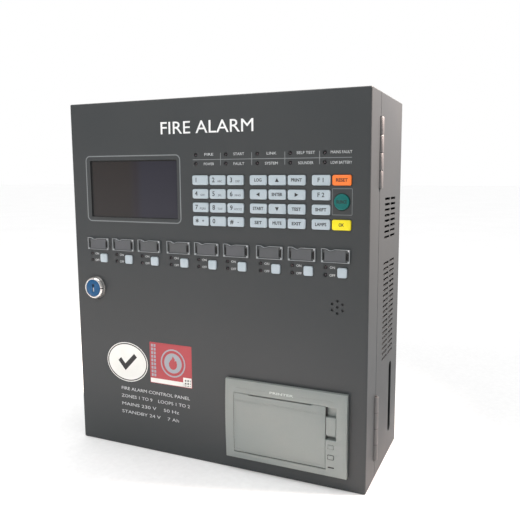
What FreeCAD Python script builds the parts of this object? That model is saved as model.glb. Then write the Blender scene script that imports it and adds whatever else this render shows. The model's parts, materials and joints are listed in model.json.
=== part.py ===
import FreeCAD, Part
import Sketcher
import math
import os
import re

# Wall-mounted fire alarm control panel: a shallow steel cabinet with a pan-shaped door.
# Every length is in millimetres. Sizes are written in cabinet coordinates: x from the left side,
# y from the door's face towards the wall, z from the bottom. Each sub-part's Placement moves it
# into the frame of the whole part: origin at the middle of the wall fixing holes, in the wall plane.

SIZES = [
    ("cabinet_width", 360, "outside, left to right"),
    ("cabinet_height", 405, "outside, bottom to top"),
    ("cabinet_depth", 140, "door face to wall"),
    ("door_depth", 36, "depth of the door pan"),
    ("sheet", 1.5, "steel sheet"),
    ("bend_radius", 1.4, "outside of the folded edges"),
    ("seam_gap", 1, "between the door pan and the box"),
    ("lip_width", 14, "folded lip round the box opening"),
    ("wall_spacing_x", 300, "wall holes, side to side"),
    ("wall_spacing_z", 340, "wall holes, up and down"),
    ("wall_hole_radius", 3.5, "wall fixing holes"),
    ("vent_length", 22.5, "ventilation slot, along the depth"),
    ("vent_height", 2.6, "ventilation slot"),
    ("vent_pitch_y", 27.5, "between the two slot columns"),
    ("vent_pitch_z", 5.85, "between slot rows"),
    ("vent_from_wall", 78.5, "start of the first slot column, from the wall"),
    ("upper_vent_low", 255.8, "lowest slot of the upper group"),
    ("upper_vent_rows", 8, "rows"),
    ("lower_vent_low", 122.4, "lowest slot of the lower group"),
    ("lower_vent_rows", 19, "rows"),
    ("cable_slot_width", 12, "along the depth"),
    ("cable_slot_length", 84, "up and down"),
    ("cable_slot_low", 26, "lower end"),
    ("cable_slot_from_wall", 30, "near edge of the slot, from the wall"),
    ("hinge_length", 70, "each hinge"),
    ("hinge_end_low", 21.5, "lower hinge, above the bottom"),
    ("hinge_end_high", 25.5, "upper hinge, below the top"),
    ("hinge_radius", 3.2, "knuckles"),
    ("hinge_pin_radius", 1.5, "pin"),
    ("hinge_pin_clearance", 0.05, "running fit, on the radius"),
    ("hinge_leaf", 1.2, "leaf thickness"),
    ("hinge_leaf_width", 22, "axis to leaf edge"),
    ("knuckle_gap", 0.4, "between knuckles"),
    ("hinge_clearance", 0.9, "round the knuckles"),
    ("lock_x", 28, "centre"),
    ("lock_z", 191, "centre"),
    ("lock_flange_radius", 14, "rim on the door"),
    ("lock_flange_thickness", 2, "rim"),
    ("lock_head_radius", 12.6, "collar"),
    ("lock_head", 6, "how far the collar stands out of the door"),
    ("lock_barrel_radius", 9.3, "threaded barrel"),
    ("lock_plug_radius", 6, "turning plug"),
    ("lock_face_radius", 10, "blue face of the plug"),
    ("lock_clearance", 0.06, "running fit, on the radius"),
    ("lock_cam_thickness", 2, "cam"),
    ("lock_cam_reach", 24, "axis to cam tip"),
    ("lock_cam_width", 14, "cam"),
    ("lock_cam_gap", 0.6, "behind the box lip"),
    ("key_slot_width", 2, "key slot"),
    ("key_slot_length", 9, "key slot"),
    ("window_left", 26.1, "display window"),
    ("window_low", 275, "display window"),
    ("window_width", 118.4, "display window"),
    ("window_height", 65, "display window"),
    ("window_radius", 1.5, "corners"),
    ("window_overlap", 3, "pane behind the door sheet"),
    ("window_pane", 2, "pane thickness"),
    ("key_width", 19.3, "keypad key"),
    ("key_height", 10.2, "keypad key"),
    ("key_radius", 1.9, "corners"),
    ("key_proud", 1.8, "keys stand out of the door"),
    ("key_travel_room", 1.4, "behind the key, up to its switch"),
    ("key_clearance", 0.25, "key to its hole, each side"),
    ("key_flange", 0.7, "retaining flange, each side"),
    ("key_flange_thickness", 1, "retaining flange"),
    ("key_flange_gap", 0.1, "flange to the door sheet"),
    ("key_stem_radius", 1.8, "stem that presses the switch"),
    ("key_edge", 0.5, "rounded front edge"),
    ("key_pitch_x", 21.1, "columns"),
    ("key_pitch_z", 14.5, "rows"),
    ("digit_x", 174.1, "first digit column"),
    ("function_x", 242.6, "first function column"),
    ("f_column_x", 310.6, "F column"),
    ("command_x", 331.7, "command column"),
    ("key_low_z", 274.2, "lowest row"),
    ("silence_z", 296.7, "round key"),
    ("silence_radius", 7.95, "round key"),
    ("zone_group_pitch", 110.1, "between groups of three zone modules"),
    ("zone_pitch", 35.6, "between modules in a group"),
    ("zone_x", 41.6, "first zone button"),
    ("zone_z", 227, "zone buttons"),
    ("zone_button_size", 10, "square button"),
    ("zone_button_radius", 1.4, "corners"),
    ("holder_width", 29.2, "label holder"),
    ("holder_height", 13.8, "label holder"),
    ("holder_proud", 2.4, "label holder"),
    ("holder_shift", 6.9, "holder centre, left of the button"),
    ("holder_z", 243.8, "holder centre"),
    ("holder_rim", 2.6, "frame round the label"),
    ("holder_recess", 1.1, "depth of the label window"),
    ("notch_radius", 7, "thumb notch"),
    ("notch_depth", 2, "thumb notch, less than the rim"),
    ("cutter_margin", 1, "cutting tools run past the faces they cut"),
    ("lamp_hole_radius", 2, "status and zone lamps"),
    ("status_lamp_x", 168.6, "first status lamp"),
    ("status_lamp_z", 335.1, "lower row of status lamps"),
    ("status_pitch_x", 36.3, "status lamps"),
    ("status_pitch_z", 9.4, "status lamps"),
    ("zone_lamp_shift", 17.5, "zone lamps, left of the button"),
    ("zone_lamp_rise", 4.8, "upper zone lamp, above the button centre"),
    ("zone_lamp_drop", 2.9, "lower zone lamp, below the button centre"),
    ("sound_x", 328.4, "sound holes"),
    ("sound_z", 192.2, "sound holes"),
    ("sound_ring", 6.3, "ring radius"),
    ("sound_hole_radius", 1.4, "sound holes"),
    ("board_thickness", 1.6, "circuit boards"),
    ("board_left", 15, "control board"),
    ("board_right", 15, "control board, from the right side"),
    ("board_low", 216, "control board"),
    ("board_high", 353, "control board"),
    ("post_radius", 2.5, "board posts"),
    ("post_inset", 4.5, "post centres from the board edge"),
    ("middle_post_x", 163, "control board posts between window and keys"),
    ("bezel_left", 203.4, "printer bezel"),
    ("bezel_low", 15.1, "printer bezel"),
    ("bezel_width", 138, "printer bezel"),
    ("bezel_height", 88.8, "printer bezel"),
    ("bezel_edge", 4.5, "how far the bezel's long edges stand out of the door"),
    ("bezel_crown", 1.6, "bow of the bezel's face"),
    ("bezel_overlap", 4, "bezel over the door cut-out"),
    ("printer_clearance", 0.5, "housing to the door cut-out"),
    ("printer_depth", 52, "housing behind the door face"),
    ("printer_wall", 2, "housing wall"),
    ("bay_left", 10, "paper bay, from the bezel's left edge"),
    ("bay_low", 6.9, "paper bay, from the bezel's bottom edge"),
    ("bay_width", 105.6, "paper bay"),
    ("bay_height", 67.8, "paper bay"),
    ("door_gap", 0.4, "round the paper door"),
    ("paper_door_back", 1.1, "paper door's inner face, out of the door face"),
    ("paper_door_round", 1.9, "rounded lower edge"),
    ("trunnion_radius", 1.2, "paper door pins"),
    ("trunnion_length", 1.8, "beyond the paper door"),
    ("trunnion_clearance", 0.06, "running fit, on the radius"),
    ("paper_slot_left", 17.2, "from the paper door's left edge"),
    ("paper_slot_width", 72.2, "paper slot"),
    ("paper_slot_height", 1, "paper slot"),
    ("latch_gap", 0.35, "round the latch"),
    ("latch_width", 10.6, "latch lever"),
    ("latch_height", 20.8, "latch lever"),
    ("latch_low", 42.9, "latch lever, from the bezel's bottom edge"),
    ("latch_left", 115.9, "latch lever, from the bezel's left edge"),
    ("latch_well_below", 3.2, "open gap under the latch"),
    ("scoop_height", 10.6, "finger scoop above the latch"),
    ("scoop_depth", 3.2, "finger scoop"),
    ("printer_key_left", 118.2, "printer keys, from the bezel's left edge"),
    ("printer_key_width", 6, "printer keys"),
    ("printer_key_height", 4.3, "printer keys"),
    ("printer_key_clearance", 0.15, "each side"),
    ("printer_key_proud", 0.25, "out of the bezel's crown"),
    ("printer_key_depth", 2.5, "behind the door face"),
    ("printer_key_room", 1.6, "behind the printer keys"),
    ("feed_key_low", 30.4, "from the bezel's bottom edge"),
    ("select_key_low", 19.2, "from the bezel's bottom edge"),
    ("roll_radius", 20, "paper roll"),
    ("roll_width", 57, "paper roll"),
    ("roll_core_radius", 6, "paper roll"),
    ("roll_gap", 0.8, "under the paper roll"),
    ("roll_depth", 26, "roll axis behind the door face"),
    ("loop_left", 40, "loop board"),
    ("loop_width", 280, "loop board"),
    ("loop_low", 250, "loop board"),
    ("loop_height", 128, "loop board"),
    ("loop_standoff", 9, "loop board to the back wall"),
    ("supply_left", 30, "power supply"),
    ("supply_low", 122, "power supply"),
    ("supply_width", 160, "power supply"),
    ("supply_height", 98, "power supply"),
    ("supply_depth", 40, "power supply"),
    ("supply_skin", 2, "power supply cover"),
    ("battery_left", 9, "first battery, from the left side"),
    ("battery_width", 151, "12 V 7 Ah battery"),
    ("battery_height", 94, "12 V 7 Ah battery"),
    ("battery_depth", 65, "12 V 7 Ah battery"),
    ("battery_gap", 5, "between batteries"),
    ("terminal_size", 6, "battery terminal"),
    ("terminal_height", 5, "battery terminal"),
    ("terminal_inset", 12, "battery terminal from the battery's end"),
]

# keys from the top row down, left to right
DIGIT_KEYS = [["key_1", "key_2", "key_3"],
              ["key_4", "key_5", "key_6"],
              ["key_7", "key_8", "key_9"],
              ["key_star", "key_0", "key_hash"]]
FUNCTION_KEYS = [["key_query", "key_up", "key_print"],
                 ["key_left", "key_enter", "key_right"],
                 ["key_start", "key_down", "key_test"],
                 ["key_set", "key_mute", "key_exit"]]
F_KEYS = [["key_f1"], ["key_f2"], ["key_shift"], ["key_lamp_test"]]
KEY_ROWS = 4
ZONE_GROUPS = 3
ZONES_IN_GROUP = 3
KNUCKLES = 4
AXIS_Y = FreeCAD.Rotation(FreeCAD.Vector(1, 0, 0), -90)   # turns a cylinder from +Z to +Y
AXIS_X = FreeCAD.Rotation(FreeCAD.Vector(0, 1, 0), 90)    # turns a cylinder from +Z to +X

doc = FreeCAD.newDocument("FireAlarmControlPanel")
sheet = doc.addObject("Spreadsheet::Sheet", "Sizes")
for row, (alias, number, note) in enumerate(SIZES, start=1):
    sheet.set("A%d" % row, note)
    sheet.set("B%d" % row, str(number))
    sheet.setAlias("B%d" % row, alias)
doc.recompute()
ALIASES = {alias for alias, number, note in SIZES}
nodes = []


# ---------- expressions and places ----------

def linked(text):
    """The expression with every alias written as a reference to the sheet."""
    return re.sub(r"[a-z][a-z0-9_]*",
                  lambda word: "Sizes." + word.group(0) if word.group(0) in ALIASES else word.group(0), text)


def bind(target, path, text):
    target.setExpression(path, linked(text))


def value(text):
    return float(sheet.evalExpression(linked(text)))


def node(label, target, x="0", y="0", z="0"):
    """Names a finished sub-part and places it; x, y and z are cabinet coordinates of its local origin."""
    target.Label = label
    bind(target, "Placement.Base.x", "%s - cabinet_width / 2" % x)
    bind(target, "Placement.Base.y", "%s - cabinet_depth" % y)
    bind(target, "Placement.Base.z", "%s - cabinet_height / 2" % z)
    nodes.append(target)
    return target


# ---------- sketches and features ----------

def sketch_on(body, name, plane, offset):
    """An empty sketch on a plane of the body's origin; offset is x for YZ_Plane and y for XZ_Plane."""
    sketch = body.newObject("Sketcher::SketchObject", name)
    support = [feature for feature in body.Origin.OriginFeatures if feature.Role == plane][0]
    sketch.AttachmentSupport = (support, [""])
    sketch.MapMode = "FlatFace"
    sign = "-" if plane == "XZ_Plane" else ""
    bind(sketch, "AttachmentOffset.Base.z", "%s(%s)" % (sign, offset))
    return sketch


def dimension(sketch, name, kind, references, text):
    index = sketch.addConstraint(Sketcher.Constraint(kind, *references, value(text)))
    sketch.renameConstraint(index, name)
    bind(sketch, "Constraints." + name, text)


def rectangle(body, name, plane, offset, left, low, width, height):
    """left and low are the lower left corner in the sketch's plane."""
    sketch = sketch_on(body, name, plane, offset)
    x, y = value(left), value(low)
    right, top = x + value(width), y + value(height)
    corners = [FreeCAD.Vector(x, y, 0), FreeCAD.Vector(right, y, 0),
               FreeCAD.Vector(right, top, 0), FreeCAD.Vector(x, top, 0)]
    for side in range(4):
        sketch.addGeometry(Part.LineSegment(corners[side], corners[(side + 1) % 4]), False)
    for side in range(4):
        sketch.addConstraint(Sketcher.Constraint("Coincident", side, 2, (side + 1) % 4, 1))
        sketch.addConstraint(Sketcher.Constraint("Horizontal" if side % 2 == 0 else "Vertical", side))
    dimension(sketch, "left", "DistanceX", (-1, 1, 0, 1), left)
    dimension(sketch, "low", "DistanceY", (-1, 1, 0, 1), low)
    dimension(sketch, "width", "DistanceX", (0, 1, 0, 2), width)
    dimension(sketch, "height", "DistanceY", (1, 1, 1, 2), height)
    return sketch


def rounded_rectangle(body, name, plane, offset, left, low, width, height, radius):
    """Four sides and four tangent corner arcs."""
    sketch = sketch_on(body, name, plane, offset)
    x, y, r = value(left), value(low), value(radius)
    right, top = x + value(width), y + value(height)
    sides = [((x + r, y), (right - r, y)), ((right, y + r), (right, top - r)),
             ((right - r, top), (x + r, top)), ((x, top - r), (x, y + r))]
    for start, end in sides:
        sketch.addGeometry(Part.LineSegment(FreeCAD.Vector(*start, 0), FreeCAD.Vector(*end, 0)), False)
    centres = [(right - r, y + r), (right - r, top - r), (x + r, top - r), (x + r, y + r)]
    for corner, centre in enumerate(centres):
        circle = Part.Circle(FreeCAD.Vector(*centre, 0), FreeCAD.Vector(0, 0, 1), r)
        start = math.radians(270 + 90 * corner)
        sketch.addGeometry(Part.ArcOfCircle(circle, start, start + math.pi / 2), False)
    for corner in range(4):
        arc = 4 + corner
        sketch.addConstraint(Sketcher.Constraint("Tangent", corner, 2, arc, 1))
        sketch.addConstraint(Sketcher.Constraint("Tangent", arc, 2, (corner + 1) % 4, 1))
        sketch.addConstraint(Sketcher.Constraint("Horizontal" if corner % 2 == 0 else "Vertical", corner))
    for arc in range(5, 8):
        sketch.addConstraint(Sketcher.Constraint("Equal", 4, arc))
    dimension(sketch, "radius", "Radius", (4,), radius)
    dimension(sketch, "left", "DistanceX", (-1, 1, 3, 1), left)
    dimension(sketch, "low", "DistanceY", (-1, 1, 0, 1), low)
    dimension(sketch, "width", "DistanceX", (3, 1, 1, 1), width)
    dimension(sketch, "height", "DistanceY", (0, 1, 2, 1), height)
    return sketch


def circles(body, name, plane, offset, centres, radius):
    sketch = sketch_on(body, name, plane, offset)
    for index, (x, y) in enumerate(centres):
        centre = FreeCAD.Vector(value(x), value(y), 0)
        sketch.addGeometry(Part.Circle(centre, FreeCAD.Vector(0, 0, 1), value(radius)), False)
        dimension(sketch, "x%d" % index, "DistanceX", (-1, 1, index, 3), x)
        dimension(sketch, "y%d" % index, "DistanceY", (-1, 1, index, 3), y)
        dimension(sketch, "radius%d" % index, "Radius", (index,), radius)
    return sketch


def pad(body, name, sketch, length):
    """Adds material towards the wall from a sketch on XZ_Plane, or towards +X from one on YZ_Plane."""
    feature = body.newObject("PartDesign::Pad", name)
    feature.Profile = sketch
    feature.Reversed = sketch.AttachmentSupport[0][0].Role == "XZ_Plane"
    bind(feature, "Length", length)
    return feature


def pocket(body, name, sketch, length):
    """Cuts towards the wall from a sketch on XZ_Plane, or towards -X from one on YZ_Plane."""
    feature = body.newObject("PartDesign::Pocket", name)
    feature.Profile = sketch
    bind(feature, "Length", length)
    return feature


def grid(body, name, original, sketch, across, columns, up, rows):
    """Repeats a feature in columns and rows; across and up are whole lengths of the pattern."""
    pattern = body.newObject("PartDesign::LinearPattern", name)
    pattern.Originals = [original]
    pattern.Direction = (sketch, ["H_Axis"])
    bind(pattern, "Length", across)
    bind(pattern, "Occurrences", columns)
    pattern.Direction2 = (sketch, ["V_Axis"])
    bind(pattern, "Length2", up)
    bind(pattern, "Occurrences2", rows)
    body.Tip = pattern
    return pattern


def stack(body, name, original, sketch, up, rows):
    """Repeats a feature upwards; up is the whole length of the pattern."""
    pattern = body.newObject("PartDesign::LinearPattern", name)
    pattern.Originals = [original]
    pattern.Direction = (sketch, ["V_Axis"])
    bind(pattern, "Length", up)
    bind(pattern, "Occurrences", rows)
    body.Tip = pattern
    return pattern


def fillet(body, name, base, chosen, radius):
    """Rounds the edges of base that chosen(edge) accepts."""
    doc.recompute()
    edges = ["Edge%d" % number for number, edge in enumerate(base.Shape.Edges, start=1) if chosen(edge)]
    feature = body.newObject("PartDesign::Fillet", name)
    feature.Base = (base, edges)
    bind(feature, "Radius", radius)
    return feature


def lies_on_y(edge, y):
    return all(abs(vertex.Point.y - y) < 1e-4 for vertex in edge.Vertexes)


def runs_along(edge, axis):
    if len(edge.Vertexes) < 2 or not isinstance(edge.Curve, Part.Line):
        return False
    return abs(abs(edge.Curve.Direction.dot(axis)) - 1) < 1e-6


def box(name, x, y, z, width, depth, height):
    solid = doc.addObject("Part::Box", name)
    bind(solid, "Length", width)
    bind(solid, "Width", depth)
    bind(solid, "Height", height)
    bind(solid, "Placement.Base.x", x)
    bind(solid, "Placement.Base.y", y)
    bind(solid, "Placement.Base.z", z)
    return solid


def cylinder(name, x, y, z, radius, length, turned=None):
    """A cylinder that starts at x, y, z and runs along +Z, or along +Y or +X when turned."""
    solid = doc.addObject("Part::Cylinder", name)
    bind(solid, "Radius", radius)
    bind(solid, "Height", length)
    if turned is not None:
        solid.Placement = FreeCAD.Placement(FreeCAD.Vector(0, 0, 0), turned)
    bind(solid, "Placement.Base.x", x)
    bind(solid, "Placement.Base.y", y)
    bind(solid, "Placement.Base.z", z)
    return solid


def fuse(name, solids):
    joined = doc.addObject("Part::MultiFuse", name)
    joined.Shapes = solids
    return joined


def cut(name, base, tools):
    """Base less all the tools."""
    removed = doc.addObject("Part::Cut", name)
    removed.Base = base
    removed.Tool = tools[0] if len(tools) == 1 else fuse(name + "Tools", tools)
    return removed


def group(name, solids):
    compound = doc.addObject("Part::Compound", name)
    compound.Links = solids
    return compound


# ---------- cabinet ----------

BOX_FRONT = "(door_depth + seam_gap)"
HINGE_Y = "(door_depth + seam_gap / 2)"
HINGE_LOWS = ["hinge_end_low", "(cabinet_height - hinge_end_high - hinge_length)"]


def folded_edges(face_y):
    """Chooses the four edges round a face at y and the four corner edges that run along the depth."""
    depth_axis = FreeCAD.Vector(0, 1, 0)
    return lambda edge: lies_on_y(edge, value(face_y)) or runs_along(edge, depth_axis)


def hinge_notches(body, name, start, length):
    """Openings for the knuckles in the right wall, from y = start."""
    for index, low in enumerate(HINGE_LOWS):
        outline = rectangle(body, "%sOutline%d" % (name, index), "YZ_Plane", "cabinet_width",
                            start, low + " - hinge_clearance", length, "hinge_length + 2 * hinge_clearance")
        pocket(body, "%s%d" % (name, index), outline, "sheet")


def rear_box():
    body = doc.addObject("PartDesign::Body", "RearBox")
    depth = "(cabinet_depth - door_depth - seam_gap)"
    outside = rectangle(body, "BoxOutside", "XZ_Plane", BOX_FRONT, "0", "0", "cabinet_width", "cabinet_height")
    block = pad(body, "BoxBlock", outside, depth)
    fillet(body, "BoxFolds", block, folded_edges("cabinet_depth"), "bend_radius")
    mouth = rectangle(body, "BoxMouth", "XZ_Plane", BOX_FRONT, "lip_width", "lip_width",
                      "cabinet_width - lip_width - sheet", "cabinet_height - 2 * lip_width")
    pocket(body, "BoxOpening", mouth, "sheet")
    inside = rectangle(body, "BoxInside", "XZ_Plane", BOX_FRONT + " + sheet", "sheet", "sheet",
                       "cabinet_width - 2 * sheet", "cabinet_height - 2 * sheet")
    pocket(body, "BoxCavity", inside, depth + " - 2 * sheet")
    for name in ("upper", "lower"):
        slot = rectangle(body, name + "Slot", "YZ_Plane", "cabinet_width", "cabinet_depth - vent_from_wall",
                         name + "_vent_low", "vent_length", "vent_height")
        first = pocket(body, name + "Vent", slot, "cabinet_width")
        grid(body, name + "Vents", first, slot, "vent_pitch_y", "2",
             "vent_pitch_z * (%s_vent_rows - 1)" % name, name + "_vent_rows")
    cable = rounded_rectangle(body, "CableSlotOutline", "YZ_Plane", "cabinet_width",
                              "cabinet_depth - cable_slot_from_wall - cable_slot_width", "cable_slot_low",
                              "cable_slot_width", "cable_slot_length", "cable_slot_width * 0.49")
    pocket(body, "CableSlot", cable, "sheet")
    hinge_notches(body, "BoxHingeNotch", BOX_FRONT, "hinge_radius + hinge_clearance - seam_gap / 2")
    left = "(cabinet_width - wall_spacing_x) / 2"
    low = "(cabinet_height - wall_spacing_z) / 2"
    hole = circles(body, "WallHoleOutline", "XZ_Plane", "cabinet_depth - sheet", [(left, low)], "wall_hole_radius")
    first_hole = pocket(body, "WallHole", hole, "sheet")
    grid(body, "WallHoles", first_hole, hole, "wall_spacing_x", "2", "wall_spacing_z", "2")
    return node("rear_box", body)


def key_holes(body, name, x, z, columns, rows, row_step="1"):
    """Holes for a block of keys; x and z are the centre of its lowest left key."""
    outline = rounded_rectangle(body, name + "Outline", "XZ_Plane", "0",
                                x + " - key_width / 2 - key_clearance", z + " - key_height / 2 - key_clearance",
                                "key_width + 2 * key_clearance", "key_height + 2 * key_clearance",
                                "key_radius + key_clearance")
    first = pocket(body, name, outline, "sheet")
    up = "key_pitch_z * %s * %d" % (row_step, rows - 1)
    if columns == 1:
        return stack(body, name + "s", first, outline, up, "%d" % rows)
    return grid(body, name + "s", first, outline, "key_pitch_x * %d" % (columns - 1), "%d" % columns,
                up, "%d" % rows)


def zone_x(zone):
    """Centre of a zone button, counted from 0 at the left."""
    return "(zone_x + zone_group_pitch * %d + zone_pitch * %d)" % divmod(zone, ZONES_IN_GROUP)


def lamp_places():
    """Centres of the status lamps, then of the zone lamps."""
    places = [("status_lamp_x + status_pitch_x * %d" % column, "status_lamp_z + status_pitch_z * %d" % row)
              for column in range(5) for row in range(2)]
    for zone in range(ZONE_GROUPS * ZONES_IN_GROUP):
        places.append((zone_x(zone) + " - zone_lamp_shift", "zone_z + zone_lamp_rise"))
        places.append((zone_x(zone) + " - zone_lamp_shift", "zone_z - zone_lamp_drop"))
    return places


def sound_places():
    places = [("sound_x", "sound_z")]
    for number in range(6):
        angle = math.radians(90 + 60 * number)
        places.append(("sound_x + sound_ring * %.5f" % math.cos(angle),
                       "sound_z + sound_ring * %.5f" % math.sin(angle)))
    return places


def door_panel():
    body = doc.addObject("PartDesign::Body", "DoorPanel")
    outside = rectangle(body, "DoorOutside", "XZ_Plane", "0", "0", "0", "cabinet_width", "cabinet_height")
    block = pad(body, "DoorBlock", outside, "door_depth")
    fillet(body, "DoorFolds", block, folded_edges("0"), "bend_radius")
    inside = rectangle(body, "DoorInside", "XZ_Plane", "sheet", "sheet", "sheet",
                       "cabinet_width - 2 * sheet", "cabinet_height - 2 * sheet")
    pocket(body, "DoorCavity", inside, "door_depth")
    window = rounded_rectangle(body, "WindowOutline", "XZ_Plane", "0", "window_left", "window_low",
                               "window_width", "window_height", "window_radius")
    pocket(body, "WindowCutOut", window, "sheet")
    key_holes(body, "DigitHole", "digit_x", "key_low_z", 3, KEY_ROWS)
    key_holes(body, "FunctionHole", "function_x", "key_low_z", 3, KEY_ROWS)
    key_holes(body, "FColumnHole", "f_column_x", "key_low_z", 1, KEY_ROWS)
    key_holes(body, "CommandHole", "command_x", "key_low_z", 1, 2, row_step="%d" % (KEY_ROWS - 1))
    silence = circles(body, "SilenceOutline", "XZ_Plane", "0", [("command_x", "silence_z")],
                      "silence_radius + key_clearance")
    pocket(body, "SilenceHole", silence, "sheet")
    for zone in range(ZONE_GROUPS * ZONES_IN_GROUP):
        outline = rounded_rectangle(body, "ZoneOutline%d" % zone, "XZ_Plane", "0",
                                    zone_x(zone) + " - zone_button_size / 2 - key_clearance",
                                    "zone_z - zone_button_size / 2 - key_clearance",
                                    "zone_button_size + 2 * key_clearance", "zone_button_size + 2 * key_clearance",
                                    "zone_button_radius + key_clearance")
        pocket(body, "ZoneHole%d" % zone, outline, "sheet")
    lamps = circles(body, "LampOutlines", "XZ_Plane", "0", lamp_places(), "lamp_hole_radius")
    pocket(body, "LampHoles", lamps, "sheet")
    sounds = circles(body, "SoundOutlines", "XZ_Plane", "0", sound_places(), "sound_hole_radius")
    pocket(body, "SoundHoles", sounds, "sheet")
    lock = circles(body, "LockOutline", "XZ_Plane", "0", [("lock_x", "lock_z")],
                   "lock_barrel_radius + 2 * lock_clearance")
    pocket(body, "LockHole", lock, "sheet")
    printer = rectangle(body, "PrinterOutline", "XZ_Plane", "0", "bezel_left + bezel_overlap - printer_clearance",
                        "bezel_low + bezel_overlap - printer_clearance",
                        "bezel_width - 2 * bezel_overlap + 2 * printer_clearance",
                        "bezel_height - 2 * bezel_overlap + 2 * printer_clearance")
    pocket(body, "PrinterCutOut", printer, "sheet")
    notch = "hinge_radius + hinge_clearance - seam_gap / 2"
    hinge_notches(body, "DoorHingeNotch", "door_depth - (%s)" % notch, notch)
    return node("door_panel", body)


# ---------- hinges ----------

KNUCKLE = "((hinge_length - %d * knuckle_gap) / %d)" % (KNUCKLES - 1, KNUCKLES)


def knuckle_low(low, number):
    return "%s + (%s + knuckle_gap) * %d" % (low, KNUCKLE, number)


def hinge_leaf(name, low, towards_wall):
    """One leaf of one hinge: the leaf that goes to the box has the first and third knuckles."""
    own = [number for number in range(KNUCKLES) if (number % 2 == 0) == towards_wall]
    leaf_x = "cabinet_width - sheet - hinge_leaf"
    solids = []
    clear = "(hinge_radius + hinge_clearance)"
    start = "%s + %s" % (HINGE_Y, clear) if towards_wall else "%s - hinge_leaf_width" % HINGE_Y
    solids.append(box(name + "Plate", leaf_x, start, low, "hinge_leaf",
                      "hinge_leaf_width - " + clear, "hinge_length"))
    tab_start = HINGE_Y if towards_wall else "%s - %s" % (HINGE_Y, clear)
    for number in own:
        at = knuckle_low(low, number)
        solids.append(box("%sTab%d" % (name, number), leaf_x, tab_start, at, "hinge_leaf", clear, KNUCKLE))
        solids.append(cylinder("%sKnuckle%d" % (name, number), "cabinet_width", HINGE_Y, at,
                               "hinge_radius", KNUCKLE))
    bore = cylinder(name + "Bore", "cabinet_width", HINGE_Y, low, "hinge_pin_radius + hinge_pin_clearance",
                    "hinge_length")
    return cut(name, fuse(name + "Solid", solids), [bore])


def hinges():
    for label, name, towards_wall in (("hinge_box_leaves", "BoxLeaf", True),
                                      ("hinge_door_leaves", "DoorLeaf", False)):
        leaves = [hinge_leaf("%s%d" % (name, index), low, towards_wall) for index, low in enumerate(HINGE_LOWS)]
        node(label, group(name + "s", leaves))
    pins = [cylinder("HingePin%d" % index, "cabinet_width", HINGE_Y, low, "hinge_pin_radius", "hinge_length")
            for index, low in enumerate(HINGE_LOWS)]
    node("hinge_pins", group("HingePins", pins))


# ---------- lock ----------

LOCK_END = "(%s + sheet + lock_cam_gap)" % BOX_FRONT        # front face of the cam
FACE_THICKNESS = "(lock_head * 0.6)"


def lock():
    """The cam points down at rest, which is unlocked; it is modelled about the plug's axis."""
    barrel_end = "(%s - lock_clearance)" % LOCK_END
    body = fuse("LockSolid", [
        cylinder("LockFlange", "0", "-lock_flange_thickness", "0", "lock_flange_radius",
                 "lock_flange_thickness", AXIS_Y),
        cylinder("LockCollar", "0", "-lock_head", "0", "lock_head_radius", "lock_head", AXIS_Y),
        cylinder("LockBarrel", "0", "-lock_flange_thickness", "0", "lock_barrel_radius",
                 "lock_flange_thickness + %s" % barrel_end, AXIS_Y)])
    bore = cylinder("LockBore", "0", "-lock_head", "0", "lock_plug_radius + lock_clearance",
                    "lock_head + %s" % barrel_end, AXIS_Y)
    recess = cylinder("LockRecess", "0", "-lock_head", "0", "lock_face_radius + lock_clearance",
                      "%s + lock_clearance" % FACE_THICKNESS, AXIS_Y)
    node("lock_body", cut("LockBody", body, [bore, recess]), "lock_x", "0", "lock_z")

    plug = fuse("PlugSolid", [
        cylinder("PlugFace", "0", "-lock_head", "0", "lock_face_radius", FACE_THICKNESS, AXIS_Y),
        cylinder("PlugShaft", "0", "-lock_head", "0", "lock_plug_radius",
                 "lock_head + %s + lock_cam_thickness" % LOCK_END, AXIS_Y)])
    slot = box("KeySlot", "-key_slot_width / 2", "-lock_head", "-key_slot_length / 2",
               "key_slot_width", "lock_head + %s / 2" % LOCK_END, "key_slot_length")
    node("lock_plug", cut("LockPlug", plug, [slot]), "lock_x", "0", "lock_z")

    boss = cylinder("CamBoss", "0", LOCK_END, "0", "lock_plug_radius + 3 * sheet", "lock_cam_thickness", AXIS_Y)
    arm = box("CamArm", "-lock_cam_width / 2", LOCK_END, "-lock_cam_reach", "lock_cam_width",
              "lock_cam_thickness", "lock_cam_reach")
    hole = cylinder("CamHole", "0", LOCK_END, "0", "lock_plug_radius", "lock_cam_thickness", AXIS_Y)
    node("lock_cam", cut("LockCam", fuse("CamSolid", [boss, arm]), [hole]), "lock_x", "0", "lock_z")


# ---------- display, keys, zone modules, control board ----------

KEY_BACK = "(sheet + key_flange_gap + key_flange_thickness)"
BOARD_Y = "(sheet + window_pane + 6)"


def display_window():
    body = doc.addObject("PartDesign::Body", "DisplayWindow")
    outline = rectangle(body, "PaneOutline", "XZ_Plane", "0", "0", "0",
                        "window_width + 2 * window_overlap", "window_height + 2 * window_overlap")
    pad(body, "Pane", outline, "window_pane")
    node("display_window", body, "window_left - window_overlap", "sheet", "window_low - window_overlap")


def cap(body, width, height, radius, round_cap):
    """Front of a key, from its proud face to its flange, about the key's own centre."""
    length = "key_proud + %s" % KEY_BACK
    if round_cap:
        outline = circles(body, "CapOutline", "XZ_Plane", "-key_proud", [("0", "0")], radius)
        rim = circles(body, "FlangeOutline", "XZ_Plane", "sheet + key_flange_gap", [("0", "0")],
                      radius + " + key_flange")
    else:
        outline = rounded_rectangle(body, "CapOutline", "XZ_Plane", "-key_proud", "-%s / 2" % width,
                                    "-%s / 2" % height, width, height, radius)
        rim = rounded_rectangle(body, "FlangeOutline", "XZ_Plane", "sheet + key_flange_gap",
                                "-%s / 2 - key_flange" % width, "-%s / 2 - key_flange" % height,
                                width + " + 2 * key_flange", height + " + 2 * key_flange",
                                radius + " + key_flange")
    front = pad(body, "Cap", outline, length)
    pad(body, "Flange", rim, "key_flange_thickness")
    return front


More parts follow.
